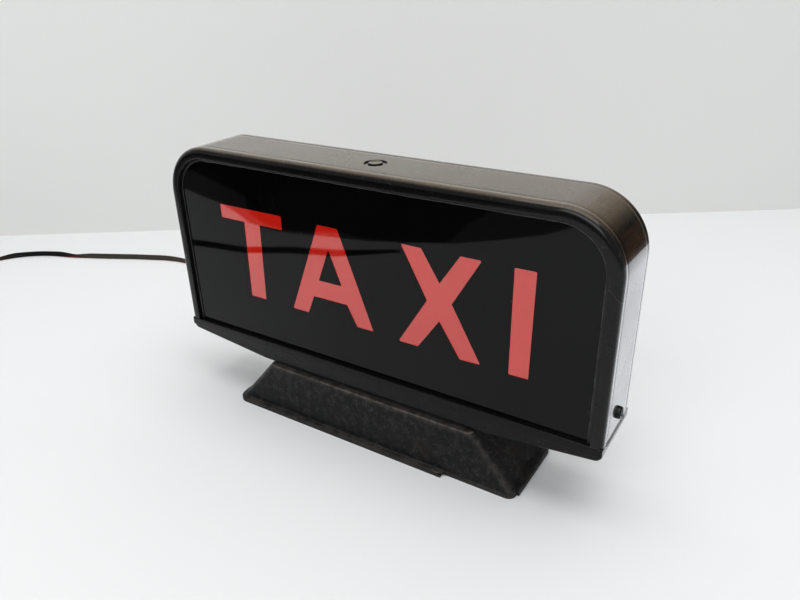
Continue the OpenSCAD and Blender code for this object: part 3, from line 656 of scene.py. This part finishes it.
def lead():
    """The flat twin lead: two round cores side by side, turned slowly about the route as it lies."""
    lying_points = [(x, y, CORD_LEVEL) for x, y in LEAD_LYING]
    route = np.array([*LEAD_DROP, *lying_points, *coil_route(), *TAIL_ROUTE]) * MM
    line = smooth_path(route, 1.8 * MM)
    run = np.concatenate([[0], np.cumsum(np.linalg.norm(np.diff(line, axis=0), axis=1))])
    marks = np.array(TWIST)
    twist = np.radians(np.interp(run, marks[:, 0], marks[:, 1]))
    twist = np.convolve(np.pad(twist, 4, "edge"), np.full(9, 1 / 9), "valid")
    lying = smooth_step(run, 0.12, 0.2) * (1 - smooth_step(run, run[-1] - 0.1, run[-1] - 0.05))
    drop = (CORD_LEVEL * MM - LEAD_THICK / 2) * (1 - np.abs(np.sin(twist)))
    line[:, 2] -= drop * lying
    line[:, 2] = np.maximum(line[:, 2], LEAD_THICK / 2 + 0.02 * MM)
    _, side, up = frames_along(line)
    core_r = LEAD_THICK / 2
    half = np.degrees(np.arccos(0.82))
    right = arc((core_r, 0), core_r, -180 + half, 180 - half, 11)
    section = np.concatenate([right, -right])
    turn = np.stack([np.cos(twist), np.sin(twist)], -1)
    across = section[None, :, 0] * turn[:, :1] - section[None, :, 1] * turn[:, 1:]
    lift = section[None, :, 0] * turn[:, 1:] + section[None, :, 1] * turn[:, :1]
    grid = line[:, None] + across[..., None] * side[:, None] + lift[..., None] * up[:, None]
    piece = outward(new_piece("twin_lead", *tube_mesh(grid), sharp_degrees=60))
    edge = np.zeros(2 * len(right), np.float32)
    edge[len(right) + 5 : len(right) + 7] = 1
    store(piece, "line", np.tile(edge, len(line)))
    # The stretch of the lead that carries the painted reflection.
    paleness = smooth_step(run, 0.31, 0.35) * (1 - smooth_step(run, 0.45, 0.475))
    store(piece, "pale_tint", np.repeat(paleness, len(edge)))
    return fit_out(piece, "sign", "cord_pvc", "cord_pvc", "lead_tube", "lead_coil", "lead_tail"), line


twin_lead, lead_line = lead()


# ---- housing

HALF_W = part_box("bottom_tray")[1].x
HALF_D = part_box("bottom_tray")[1].y
TOP_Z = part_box("housing_shell")[1].z
SEAM_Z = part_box("bottom_tray")[0].z + 15 * MM
CORNER_R = 33 * MM
BEZEL_W = 7 * MM
BEZEL_T = 2.75 * MM
WALL = 3 * MM
CORNER_X = HALF_W - CORNER_R
CORNER_Z = TOP_Z - CORNER_R
OPENING_R = CORNER_R - BEZEL_W
SHELF_Y = HALF_D - BEZEL_T
TAB_DROP = 2.6 * MM
TAB_HALF = 17 * MM


def arch_stations():
    """Stations up the left side, over the top and down the right: centre, outward direction."""
    up = np.linspace(SEAM_Z, CORNER_Z, 26)
    over = np.linspace(-CORNER_X, CORNER_X, 79)
    bend = np.radians(np.linspace(180, 90, 33))[1:-1]
    left = [(-CORNER_X, z, -1.0, 0.0) for z in up]
    corner = [(-CORNER_X, CORNER_Z, math.cos(a), math.sin(a)) for a in bend]
    top = [(x, CORNER_Z, 0.0, 1.0) for x in over]
    other = [(-x, z, -dx, dz) for x, z, dx, dz in reversed(left + corner)]
    return np.array(left + corner + top + other)


def arch_sweep(section):
    """Carries a section of (radius, depth) points along the arch, as (stations, round, 3)."""
    x, z, dx, dz = arch_stations()[:, :, None].transpose(1, 0, 2)
    radius, depth = section[:, 0], section[:, 1]
    return np.stack([x + dx * radius, depth + 0 * x, z + dz * radius], -1)


def housing_section():
    """The C section: wall, two bezels, rounded edges, and a faint sink line near each edge."""
    edge_r, lip_r = 3.6 * MM, 0.6 * MM
    sink = [(0, -15.4), (-0.05, -15.8), (-0.13, -16.3), (-0.13, -16.9), (-0.05, -17.4), (0, -17.8)]
    front = np.concatenate(
        [
            [[CORNER_R, -HALF_D * s] for s in (0.0, 0.3, 0.6)],
            np.array(sink) * MM + [CORNER_R, 0],
            arc((CORNER_R - edge_r, -HALF_D + edge_r), edge_r, 0, -90, 13),
            arc((OPENING_R + lip_r, -HALF_D + lip_r), lip_r, -90, -180, 6),
            [[OPENING_R, -SHELF_Y]],
            [[CORNER_R - WALL, -SHELF_Y]],
        ]
    )
    back = front[1:][::-1] * [1, -1]
    return np.concatenate([front, back])


def tab(side):
    """A side wall's lower edge, where it reaches down over the tray's end."""
    level = np.array([SEAM_Z + 1 * MM, SEAM_Z - TAB_DROP + 0.5 * MM, SEAM_Z - TAB_DROP, SEAM_Z - TAB_DROP])
    inset = np.array([0, 0, 0.5, 0.5]) * MM
    rings = [rounded_rect(WALL - 2 * i, 2 * (TAB_HALF - i), 0.8 * MM, 4, 3) for i in inset]
    grid = np.stack([np.column_stack([r, np.full(len(r), z)]) for r, z in zip(rings, level)])
    grid[..., 0] += side * (HALF_W - WALL / 2)
    return tube_mesh(grid)


def cut(target, cutter):
    """Takes the cutter's volume out of the target."""
    modifier = target.modifiers.new("cut", "BOOLEAN")
    modifier.operation = "DIFFERENCE"
    modifier.solver = "EXACT"
    modifier.object = cutter
    graph = bpy.context.evaluated_depsgraph_get()
    mesh = bpy.data.meshes.new_from_object(target.evaluated_get(graph))
    target.modifiers.clear()
    old = target.data
    target.data = mesh
    bpy.data.meshes.remove(old)
    bpy.data.objects.remove(cutter)
    mesh.polygons.foreach_set("use_smooth", [True] * len(mesh.polygons))
    mesh.set_sharp_from_angle(angle=math.radians(32))


BUTTON_HOLE_R = 4.3 * MM
RECESS_R = 6.6 * MM
RECESS_T = 0.8 * MM
SCREW_HEAD_R = 3.5 * MM
SCREW_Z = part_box("side_screw_left")[0].z + SCREW_HEAD_R


def housing():
    """The black housing: the arch with its bezels, the button's recess and the screw holes."""
    section = housing_section()
    shell = outward(new_piece("housing", *tube_mesh(arch_sweep(section))))
    ease = 0.35 * MM
    recess = lathe(
        [
            (0, TOP_Z + 5 * MM),
            (RECESS_R + 5 * MM, TOP_Z + 5 * MM),
            (RECESS_R + ease, TOP_Z),
            (RECESS_R + 0.1 * MM, TOP_Z - 0.6 * ease),
            (RECESS_R, TOP_Z - 1.4 * ease),
            (RECESS_R, TOP_Z - RECESS_T),
            (BUTTON_HOLE_R, TOP_Z - RECESS_T),
            (BUTTON_HOLE_R, TOP_Z - 10 * MM),
            (0, TOP_Z - 10 * MM),
        ],
        64,
    )
    screw = placed(lathe([(0, 0), (2.2 * MM, 0), (2.2 * MM, 20 * MM), (0, 20 * MM)], 24), ALONG_X)
    cutters = joined(
        recess,
        placed(screw, move=(HALF_W - 10 * MM, 0, SCREW_Z)),
        placed(screw, move=(-HALF_W - 10 * MM, 0, SCREW_Z)),
    )
    cut(shell, outward(new_piece("cutter", *cutters)))
    tabs = outward(new_piece("tabs", *joined(tab(-1), tab(1))))
    with bpy.context.temp_override(active_object=shell, selected_editable_objects=[shell, tabs]):
        bpy.ops.object.join()
    mark_edges(shell, housing_edge)
    return fit_out(shell, "sign", "black_plastic", "black_plastic", "housing_shell")


def housing_edge(p):
    """Near 1 along the long outer edges and the bezels' inner edges of the housing."""
    out_x = np.maximum(np.abs(p[:, 0]) - CORNER_X, 0)
    out_z = np.maximum(p[:, 2] - CORNER_Z, 0)
    radius = np.where(out_z > 0, np.hypot(out_x, out_z), out_x)
    radius = np.where(np.abs(p[:, 0]) < CORNER_X, p[:, 2] - CORNER_Z, radius)
    outer = bell(radius - (CORNER_R - 1 * MM), 1.6 * MM)
    inner = bell(radius - OPENING_R, 0.9 * MM)
    near_face = smooth_step(np.abs(p[:, 1]), HALF_D - 3.4 * MM, HALF_D - 0.5 * MM)
    return near_face * np.maximum(outer, 0.7 * inner)


def mark_edges(obj, function):
    """Stores function(points) as the piece's edge attribute, and its upward faces, high up, as a pale warm
    tint.
    """
    mesh = obj.data
    p = np.empty(len(mesh.vertices) * 3)
    mesh.vertices.foreach_get("co", p)
    store(obj, "edge", function(p.reshape(-1, 3)))
    normals = np.empty(len(mesh.vertices) * 3)
    mesh.vertices.foreach_get("normal", normals)
    # Upward faces above about 0.1 m get the pale warm tint.
    pale_tint = smooth_step(normals[2::3], 0.55, 0.97) * smooth_step(p[2::3], 0.1, 0.15)
    store(obj, "pale_tint", pale_tint)


housing()


# ---- bottom tray

TRAY_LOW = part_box("bottom_tray")[0].z
TRAY_END = 43 * MM
TRAY_FLAT_X = 82 * MM
STEP_Z = 46 * MM


def eased_slab(outline, depth, radius):
    """A closed (x, z) outline given depth along y, with every edge of both faces rounded."""
    n = len(outline)
    before, after = np.roll(outline, 1, 0), np.roll(outline, -1, 0)
    tangent = after - before
    tangent /= np.linalg.norm(tangent, axis=1)[:, None]
    normal = np.stack([tangent[:, 1], -tangent[:, 0]], -1)
    turn = np.radians(np.linspace(90, 0, 7))
    inset = radius * (1 - np.cos(turn))
    depth_at = depth / 2 - radius + radius * np.sin(turn)
    rings = [(i, -d) for i, d in zip(inset, depth_at)]
    rings += [(0.0, d) for d in np.linspace(-1, 1, 7)[1:-1] * (depth / 2 - radius)]
    rings += [(i, d) for i, d in zip(inset[::-1], depth_at[::-1])]
    grid = np.empty((len(rings), n, 3))
    for k, (i, y) in enumerate(rings):
        ring = outline - normal * i
        grid[k] = np.column_stack([ring[:, 0], np.full(n, y), ring[:, 1]])
    return tube_mesh(grid)


def along(a, b, steps):
    """Even points from a up to but not including b."""
    return np.linspace(a, b, steps, endpoint=False)


def tray():
    """The bottom tray: an upper band, and a lower body whose underside rises to its ends."""
    r = 4 * MM
    x = HALF_W - 0.2 * MM
    low_right = arc((x - r, TRAY_END + r), r, -84, 0, 9)
    lower = np.concatenate(
        [
            along([-TRAY_FLAT_X, TRAY_LOW], [TRAY_FLAT_X, TRAY_LOW], 24),
            along([TRAY_FLAT_X, TRAY_LOW], low_right[0], 14),
            low_right,
            [[x, SEAM_Z - 1 * MM]],
            along([x - 1 * MM, SEAM_Z - 0.6 * MM], [-x + 1 * MM, SEAM_Z - 0.6 * MM], 60),
            [[-x, SEAM_Z - 1 * MM]],
            low_right[::-1] * [-1, 1],
            along(low_right[0] * [-1, 1], [-TRAY_FLAT_X, TRAY_LOW], 14)[1:],
        ]
    )
    band = rounded_rect(2 * HALF_W, SEAM_Z - STEP_Z, 0.7 * MM, 5, 24) + [0, (SEAM_Z + STEP_Z) / 2]
    shape = joined(
        eased_slab(lower, 2 * HALF_D - 0.8 * MM, 1.4 * MM),
        eased_slab(band, 2 * HALF_D, 0.55 * MM),
    )
    piece = outward(new_piece("tray", *shape))
    mark_edges(piece, tray_edge)
    return fit_out(piece, "sign", "tray_plastic", "black_plastic", "bottom_tray")


def tray_edge(p):
    """Near 1 along the tray's seam edge and its lower front and back edges."""
    face = smooth_step(np.abs(p[:, 1]), HALF_D - 2.2 * MM, HALF_D - 0.8 * MM)
    under = TRAY_LOW + (TRAY_END - TRAY_LOW) * smooth_step(np.abs(p[:, 0]), TRAY_FLAT_X, HALF_W)
    low = bell(p[:, 2] - under, 1.8 * MM)
    high = bell(p[:, 2] - SEAM_Z, 0.8 * MM)
    return face * np.maximum(low, 0.6 * high)


tray()


# ---- sealant beads

def seal(name, front, node, seed):
    """A flat uneven smear round the panel: an elliptic section whose width wanders along the arch."""
    stations = arch_stations()
    share = np.linspace(0, 1, len(stations))
    rng = np.random.default_rng(seed)
    wander = np.interp(share, np.linspace(0, 1, 110), rng.uniform(0.0, 1.0, 110))
    slow = np.interp(share, np.linspace(0, 1, 14), rng.uniform(0.0, 1.0, 14))
    a = np.linspace(0, TAU, 14, endpoint=False)
    wide = ((0.75 + 0.3 * slow + 0.16 * wander) * MM)[:, None]
    thick = ((0.22 + 0.16 * wander) * MM)[:, None]
    radius = OPENING_R + 0.1 * MM - wide + wide * np.cos(a)
    depth = -SHELF_Y - 0.05 * MM + thick * np.sin(a)
    x, z, dx, dz = stations[:, :, None].transpose(1, 0, 2)
    height = np.maximum(z + dz * radius, SEAM_Z + 0.1 * MM)
    grid = np.stack([x + dx * radius, depth + 0 * x, height], -1)
    if not front:
        grid[..., :2] *= -1
    piece = outward(new_piece(name, *tube_mesh(grid)))
    store(piece, "edge", bell(a - math.pi, 0.62)[None] * (0.25 + 0.75 * slow[:, None]))
    return fit_out(piece, "sign", "grey_sealant", "grey_sealant", node)


seal("seal_bead_front", True, "front_seal", 3)
seal("seal_bead_back", False, "rear_seal", 8)


# ---- foot

FOOT_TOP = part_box("foot_cover")[1].z
FLANGE_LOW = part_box("foot_cover")[0].z
FLANGE_TOP = FLANGE_LOW + 1.4 * MM
FOOT_TOP_SIZE = (153 * MM, 50.8 * MM, 5.5 * MM)
FOOT_LOW_SIZE = (209 * MM, 53 * MM, 5 * MM)
NOTCH_X, NOTCH_Y = 59 * MM, -20.5 * MM


def foot_ring(share, inset, level, lip=0.0):
    """One ring round the foot: share runs from the table (0) to the top (1)."""
    width, depth, radius = (a + (b - a) * share for a, b in zip(FOOT_LOW_SIZE, FOOT_TOP_SIZE))
    ring = rounded_rect(width - 2 * inset, depth - 2 * inset, max(radius - inset, 1 * MM), 12, 60)
    if lip:
        wide = rounded_rect(FOOT_LOW_SIZE[0] + 3 * MM, FOOT_LOW_SIZE[1] + 7.6 * MM, 7 * MM, 12, 60)
        ring = ring + (wide - ring) * (lip * lip_left(ring))[:, None]
    return np.column_stack([ring, np.full(len(ring), level)])


def lip_left(ring):
    """1 where the lip is whole, 0 where it is broken away at the front right corner."""
    ragged = 0.8 * MM * np.sin(ring[:, 0] * 900) + 0.5 * MM * np.sin(ring[:, 1] * 1700)
    past_x = smooth_step(ring[:, 0] + ragged, NOTCH_X - 0.7 * MM, NOTCH_X + 0.9 * MM)
    past_y = smooth_step(-ring[:, 1] + ragged, -NOTCH_Y - 0.8 * MM, -NOTCH_Y + 0.8 * MM)
    return 1 - past_x * past_y


def foot():
    """The foot's cover: lip, nearly upright long sides, steep ends, soft top edge, hollow inside."""
    def share_at(level):
        return (level - FLANGE_TOP) / (FOOT_TOP - FLANGE_TOP)

    rings = [foot_ring(0, 3 * MM, FLANGE_LOW)]
    rings += [foot_ring(0, 0, z, lip) for z, lip in (
        (FLANGE_LOW, 0.96), (FLANGE_LOW + 0.25 * MM, 1.0), (FLANGE_TOP - 0.4 * MM, 1.0), (FLANGE_TOP, 0.9),
    )]  # fmt: skip
    for k in range(5):
        t = k / 4
        rings.append(foot_ring(0, 0, FLANGE_TOP + 1.6 * MM * t * t, 0.35 * (1 - t) ** 2))
    soft = 1.1 * MM
    for level in np.linspace(FLANGE_TOP + 2.4 * MM, FOOT_TOP - soft, 12):
        rings.append(foot_ring(share_at(level), 0, level))
    for a in np.radians(np.linspace(15, 90, 6)):
        level = FOOT_TOP - soft + soft * math.sin(a)
        rings.append(foot_ring(share_at(level), soft * (1 - math.cos(a)), level))
    rings.append(foot_ring(1, 12 * MM, FOOT_TOP))
    inside = [(1, 12 * MM, FOOT_TOP - 4 * MM), (0.88, 3.4 * MM, FOOT_TOP - 4 * MM)]
    inside += [(0.8, 3 * MM, FOOT_TOP - 6 * MM), (0.0, 3 * MM, FLANGE_LOW + 0.2 * MM)]
    outer = np.stack(rings[1:])
    inner = np.stack([foot_ring(s, i, z) for s, i, z in inside])
    grid = np.concatenate([inner, rings[0][None], outer])
    piece = outward(new_piece("foot", *tube_mesh(grid), sharp_degrees=50))
    mark_edges(piece, foot_edge)
    return fit_out(piece, "sign", "foot_rubber", "foot_rubber", "foot_cover")


def foot_edge(p):
    """Near 1 along the foot's top edge, its upright corners and the lip's edge, where wear and a painted
    highlight lie.
    """
    share = np.clip((p[:, 2] - FLANGE_TOP) / (FOOT_TOP - FLANGE_TOP), 0, 1)
    half_w = (FOOT_LOW_SIZE[0] + (FOOT_TOP_SIZE[0] - FOOT_LOW_SIZE[0]) * share) / 2
    half_d = (FOOT_LOW_SIZE[1] + (FOOT_TOP_SIZE[1] - FOOT_LOW_SIZE[1]) * share) / 2
    corner = np.exp(
        -((half_w - np.abs(p[:, 0])) / (3 * MM)) ** 2 - ((half_d - np.abs(p[:, 1])) / (3 * MM)) ** 2
    )
    top = bell(p[:, 2] - FOOT_TOP + 0.5 * MM, 0.6 * MM)
    lip = np.where(p[:, 2] < FLANGE_TOP + 0.2 * MM, 0.35, 0)
    return np.maximum(np.maximum(0.55 * corner, top), lip)


foot()


# ---- screws and button

def cross_head(radius, height, recess, arm):
    """A domed head with a cross-shaped recess: height over a polar grid, and the head's side."""
    r = np.concatenate([[0.02], np.linspace(0.08, 0.92, 16), [0.96, 0.99, 1.0]]) * radius
    a = np.linspace(0, TAU, 72, endpoint=False)
    rr, aa = np.meshgrid(r, a, indexing="ij")
    x, y = rr * np.cos(aa), rr * np.sin(aa)
    edge = np.clip((rr / radius - 0.8) / 0.2, 0, 1)
    dome = height * (1 - 0.16 * (rr / radius) ** 2) - 0.35 * height * edge**2
    slot = np.minimum(np.abs(x), np.abs(y))
    reach = np.maximum(np.abs(x), np.abs(y))
    deep = (1 - smooth_step(slot, arm * 0.5, arm)) * (1 - smooth_step(reach, radius * 0.45, radius * 0.62))
    top = np.stack([x, y, dome - recess * deep], -1)
    side = np.stack([x[-1], y[-1], np.zeros(len(a))], -1)
    return tube_mesh(np.concatenate([top, side[None]]))


def side_screw(name, side, node):
    """A black cross-headed screw in the side wall: a domed head on a turned shank with an eased end."""
    shank = np.array([(0.01, 0), (2, 0), (2, -10.4), (1.6, -11), (0.01, -11)]) * MM
    shape = joined(cross_head(SCREW_HEAD_R, 2.4 * MM, 1.1 * MM, 0.7 * MM), lathe(shank, 24))
    turn = ALONG_X if side > 0 else ALONG_MINUS_X
    piece = new_piece(name, *placed(shape, turn, (side * HALF_W, 0, SCREW_Z)))
    return fit_out(outward(piece), "sign", "black_screw", "black_screw", node)


side_screw("side_screw_left_head", -1, "side_screw_left")
side_screw("side_screw_right_head", 1, "side_screw_right")


def button():
    """The button: a turned cap with an eased rim, a shallow dished top and its hidden flange."""
    low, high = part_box("button_cap")
    r, flange = 4.1 * MM, 5.6 * MM
    ease = 0.45 * MM
    rim = arc((r - ease, high.z - ease), ease, 0, 90, 6)
    step = low.z + 1.4 * MM
    profile = [(0.01 * MM, low.z), (flange, low.z), (flange, step), (r, step), *rim.tolist()]
    dish = [(r - 1 * MM, 0.05), (r - 1.5 * MM, 0.28), (0.01 * MM, 0.2)]
    profile += [(radius, high.z - drop * MM) for radius, drop in dish]
    piece = outward(new_piece("button", *lathe(profile, 64)))
    mark_edges(piece, lambda p: np.where(np.hypot(p[:, 0], p[:, 1]) > 3.6 * MM, 1.0, 0.0))
    return fit_out(piece, "button", "button_plastic", "button_plastic", "button_cap")


button()


# ---- springs

def helix(radius, length, turns, wire_r):
    """A round wire wound about Z from 0 to length, with flat end turns."""
    t = np.linspace(0, 1, int(turns * 22))
    rise = np.interp(t, [0, 0.12, 0.88, 1], [0, 0.03, 0.97, 1])
    a = TAU * turns * t
    z = wire_r + rise * (length - 2 * wire_r)
    line = np.stack([radius * np.cos(a), radius * np.sin(a), z], -1)
    out = np.stack([np.cos(a), np.sin(a), 0 * a], -1)
    heading = np.gradient(line, axis=0)
    heading /= np.linalg.norm(heading, axis=1)[:, None]
    up = np.cross(out, heading)
    b = np.linspace(0, TAU, 8, endpoint=False)
    grid = line[:, None] + wire_r * (np.cos(b)[:, None] * out[:, None] + np.sin(b)[:, None] * up[:, None])
    return tube_mesh(grid)


def spring(name, node, shape):
    """A coil spring in place of the plain CAD one, with its own copy of its mesh."""
    piece = outward(new_piece(name, *shape))
    fit_out(piece, "sign", "spring_steel", "spring_steel", node)
    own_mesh(piece)


low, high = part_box("button_spring")
length, anchor = high.z - low.z, (0, 0, low.z)
coil = placed(helix(3.2 * MM, length, 6.5, 0.35 * MM), move=anchor)
spring("button_coil_spring", "button_spring", coil)
low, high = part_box("plug_spring")
PLUG_AXIS = ((low.y + high.y) / 2, (low.z + high.z) / 2)
length, anchor = high.x - low.x, (low.x, *PLUG_AXIS)
coil = placed(helix(3.2 * MM, length, 11.5, 0.4 * MM), ALONG_X, anchor)
spring("plug_coil_spring", "plug_spring", coil)


# ---- the plug

def ribbed_grip():
    """The plug's body: eased ribs round the grip, a step down to the barrel, hollow at the nose.

    The CAD body's two contact slots are not cut here, so the side contacts pass through the wall.
    """
    low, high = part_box("plug_body")
    grip_r, barrel_r, hollow_r = 12 * MM, 10.4 * MM, 7.6 * MM
    grip_end = 38 * MM
    end = high.x - low.x
    x = np.linspace(0, grip_end, 150)
    wave = 0.5 + 0.5 * np.cos(TAU * (x - 4.5 * MM) / (5.6 * MM))
    ease = np.minimum(smooth_step(x, 0, 1.2 * MM), 1 - smooth_step(x, grip_end - 1.2 * MM, grip_end))
    rise = 0.6 * MM
    rib = barrel_r + (grip_r - rise - barrel_r + rise * smooth_step(wave, 0.25, 0.6)) * ease
    rib[:12] = np.minimum(rib[:12], grip_r - 1.2 * MM + np.sqrt(np.maximum(0, x[:12] * 2.4 * MM)))
    profile = [(2.75 * MM, 0.0), (7 * MM, 0.0)]
    profile += np.column_stack([rib, x]).tolist()
    profile += [(barrel_r, grip_end + 0.3 * MM), (barrel_r, end - 0.5 * MM), (barrel_r - 0.5 * MM, end)]
    profile += [(hollow_r, end), (hollow_r, 8 * MM), (2.75 * MM, 8 * MM), (2.75 * MM, 0.05 * MM)]
    shape = tube_mesh(turned(profile, 72), closed_path=True)
    piece = new_piece("plug_grip", *placed(shape, ALONG_X, (low.x, *PLUG_AXIS)))
    return fit_out(outward(piece), "sign", "plug_plastic", "plug_plastic", "plug_body")


def relief():
    """The plug's tapered strain relief, with shallow flexing grooves."""
    low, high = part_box("plug_relief")
    length = high.x - low.x
    x = np.linspace(0, length, 70)
    r = np.interp(x, [0, length], [4 * MM, 6.5 * MM])
    groove = smooth_step(np.cos(TAU * x / (3.6 * MM)), 0.55, 0.95) * (x > 1.5 * MM) * (x < length - 2 * MM)
    profile = np.column_stack([r - 0.7 * MM * groove, x])
    profile = np.concatenate([[[2.7 * MM, 0]], profile, [[2.7 * MM, length]]])
    shape = tube_mesh(turned(profile, 48), closed_path=True)
    piece = new_piece("plug_strain_relief", *placed(shape, ALONG_X, (low.x, *PLUG_AXIS)))
    return fit_out(outward(piece), "sign", "pad_rubber", "pad_rubber", "plug_relief")


plug_grip = ribbed_grip()
plug_strain_relief = relief()


# ---- stage and lights

def stage_plane(name, corners, finish):
    """One flat face of the stage, which is not part of the object."""
    mesh = bpy.data.meshes.new(name)
    mesh.from_pydata(corners, [], [list(range(len(corners)))])
    obj = bpy.data.objects.new(name, mesh)
    bpy.context.scene.collection.objects.link(obj)
    mesh.materials.append(finish)
    return obj


def table_finish():
    """Dull white table top."""
    f = Finish("table_white", (0.8, 0.805, 0.8), 0.8, Specular_IOR_Level=0.0)
    f.colour(f.ramp(f.noise(1.5, 2), (0.3, (0.76, 0.765, 0.765)), (0.7, (0.79, 0.795, 0.79))))
    return f.material


def wall_finish():
    """Light grey wall, clear from behind."""
    f = Finish("wall_grey", (0.77, 0.77, 0.75), 0.9, Specular_IOR_Level=0.0)
    clear = f.nodes.new("ShaderNodeBsdfTransparent")
    behind = f.nodes.new("ShaderNodeNewGeometry").outputs["Backfacing"]
    mixed = f.nodes.new("ShaderNodeMixShader")
    f.links.new(behind, mixed.inputs[0])
    f.links.new(f.shader.outputs[0], mixed.inputs[1])
    f.links.new(clear.outputs[0], mixed.inputs[2])
    f.links.new(mixed.outputs[0], f.nodes["Material Output"].inputs["Surface"])
    return f.material


def card_finish(name, shade):
    """Dull, slightly warm grey of the given shade."""
    return Finish(name, (shade, 0.9 * shade, 0.85 * shade), 0.9, Specular_IOR_Level=0.0).material


def glow_finish():
    """A bright white card beside the sign, for the gloss of its side."""
    f = Finish("white_card", (0.8, 0.81, 0.82), 1.0, Specular_IOR_Level=0.0, Emission_Strength=0.4)
    f.shader.inputs["Emission Color"].default_value = (0.95, 0.98, 1.0, 1)
    return f.material


def clutter_finish():
    """A dim brown corner of a room that only reflections see, fading to wall grey on its left."""
    f = Finish("room_clutter", (0.05, 0.035, 0.03), 1.0, Specular_IOR_Level=0.0)
    shapes = f.ramp(
        f.noise(13, 5, 0.6, 0.5),
        (0.34, (0.014, 0.02, 0.022)),
        (0.47, (0.06, 0.062, 0.055)),
        (0.56, (0.24, 0.11, 0.055)),
        (0.66, (0.05, 0.035, 0.03)),
    )
    side = f.node("ShaderNodeSeparateXYZ", 0, Vector=f.place)
    fade = f.ramp(f.maths("MULTIPLY", side, 2.0), (0.28, 1.0), (0.75, 0.0))
    f.colour(f.mix(fade, shapes, (0.6, 0.57, 0.52)))
    return f.material


REACH, WALL_HEIGHT = 4, 3
table_corners = [(-REACH, -REACH, 0), (REACH, -REACH, 0), (REACH, REACH, 0), (-REACH, REACH, 0)]
stage_plane("table", table_corners, table_finish())
wall_way = REACH * math.cos(WALL_TURN), REACH * math.sin(WALL_TURN)
start = (WALL_POINT[0] - wall_way[0], WALL_POINT[1] - wall_way[1])
end = (WALL_POINT[0] + wall_way[0], WALL_POINT[1] + wall_way[1])
wall_corners = [(*start, 0), (*end, 0), (*end, WALL_HEIGHT), (*start, WALL_HEIGHT)]
stage_plane("wall", wall_corners, wall_finish())

# Cards that only reflections see. All but the corner lie just over the table, at their own levels.
DARK_LEVEL, HALF_LEVEL, STRIP_LEVEL, GLOW_LEVEL = 0.0008, 0.0005, 0.0006, 0.0004
FAR_CORNERS = [(0.6, -1.6), (2, -3.5), (-3.5, -3.5), (-3.5, -0.3)]
GLOW_OUTLINE = [(0.16, 0), (4, 0), (4, 1.6), (0.16, 0.52)]
CORNER_OUTLINE = [(0.1, 0.51, 0), (0.9, 0.72, 0), (0.9, 0.72, 0.9), (0.1, 0.51, 0.9)]
CARD_EDGE = [
    (-1.2, -0.4), (-0.6, -0.42), (-0.442, -0.366), (-0.381, -0.312), (-0.336, -0.292), (-0.31, -0.29),
    (-0.287, -0.295), (-0.245, -0.315), (-0.222, -0.313), (-0.168, -0.322), (-0.124, -0.345),
    (-0.124, -0.368), (-0.129, -0.401), (-0.127, -0.45), (-0.133, -0.49), (-0.14, -0.6),
]  # fmt: skip
HALF_EDGE = [
    (-1.2, -0.3), (-0.533, -0.348), (-0.489, -0.336), (-0.45, -0.328), (-0.406, -0.311), (-0.358, -0.288),
    (-0.308, -0.284), (-0.2, -0.31), (-0.114, -0.349), (-0.076, -0.383), (-0.039, -0.421),
    (-0.015, -0.468), (0.0, -0.492), (0.06, -0.6),
]  # fmt: skip
CARD_STRIP = [
    (-0.384, -0.216), (-0.309, -0.229), (-0.263, -0.255), (-0.216, -0.271), (-0.157, -0.306),
    (-0.152, -0.298), (-0.206, -0.255), (-0.252, -0.240), (-0.297, -0.215), (-0.370, -0.203),
]  # fmt: skip


def flat(outline, level):
    """An outline in x and y, laid at a level."""
    return [(x, y, level) for x, y in outline]


hidden_cards = [
    stage_plane("dark_card", flat(CARD_EDGE + FAR_CORNERS, DARK_LEVEL), card_finish("dark_card", 0.004)),
    stage_plane("half_card", flat(HALF_EDGE + FAR_CORNERS, HALF_LEVEL), card_finish("half_card", 0.16)),
    stage_plane("dark_strip", flat(CARD_STRIP, STRIP_LEVEL), card_finish("strip_card", 0.006)),
    stage_plane("room_corner", CORNER_OUTLINE, clutter_finish()),
    stage_plane("white_card", flat(GLOW_OUTLINE, GLOW_LEVEL), glow_finish()),
]
for card in hidden_cards:
    card.visible_camera = False
    card.visible_diffuse = False
    card.visible_shadow = False
    card.visible_transmission = False


def area_light(name, place, aim, size, power):
    """A soft rectangular light of power watts at a place, turned towards its aim."""
    data = bpy.data.lights.new(name, "AREA")
    data.shape = "RECTANGLE"
    data.size, data.size_y = size
    data.energy = power
    obj = bpy.data.objects.new(name, data)
    back = np.array(place, float) - np.array(aim, float)
    back /= np.linalg.norm(back)
    side = np.cross([0, 1, 0.001], back)
    side /= np.linalg.norm(side)
    stand(obj, side, np.cross(back, side), back, place)
    obj.visible_camera = False


area_light("overhead", (0.25, -0.1, 1.75), (0.05, 0, 0), (1.7, 1.2), 14.8)
area_light("front_fill", (0.3, -1.6, 1.3), (0, 0.1, 0.15), (1.6, 1.0), 12)
world = bpy.data.worlds.new("room")
bpy.context.scene.world = world
world.use_nodes = True
background = world.node_tree.nodes["Background"].inputs
background["Color"].default_value = (0.92, 0.95, 1.0, 1)
background["Strength"].default_value = 0.4
bpy.context.scene.view_settings.view_transform = "Standard"
bpy.context.scene.view_settings.look = "Medium High Contrast"
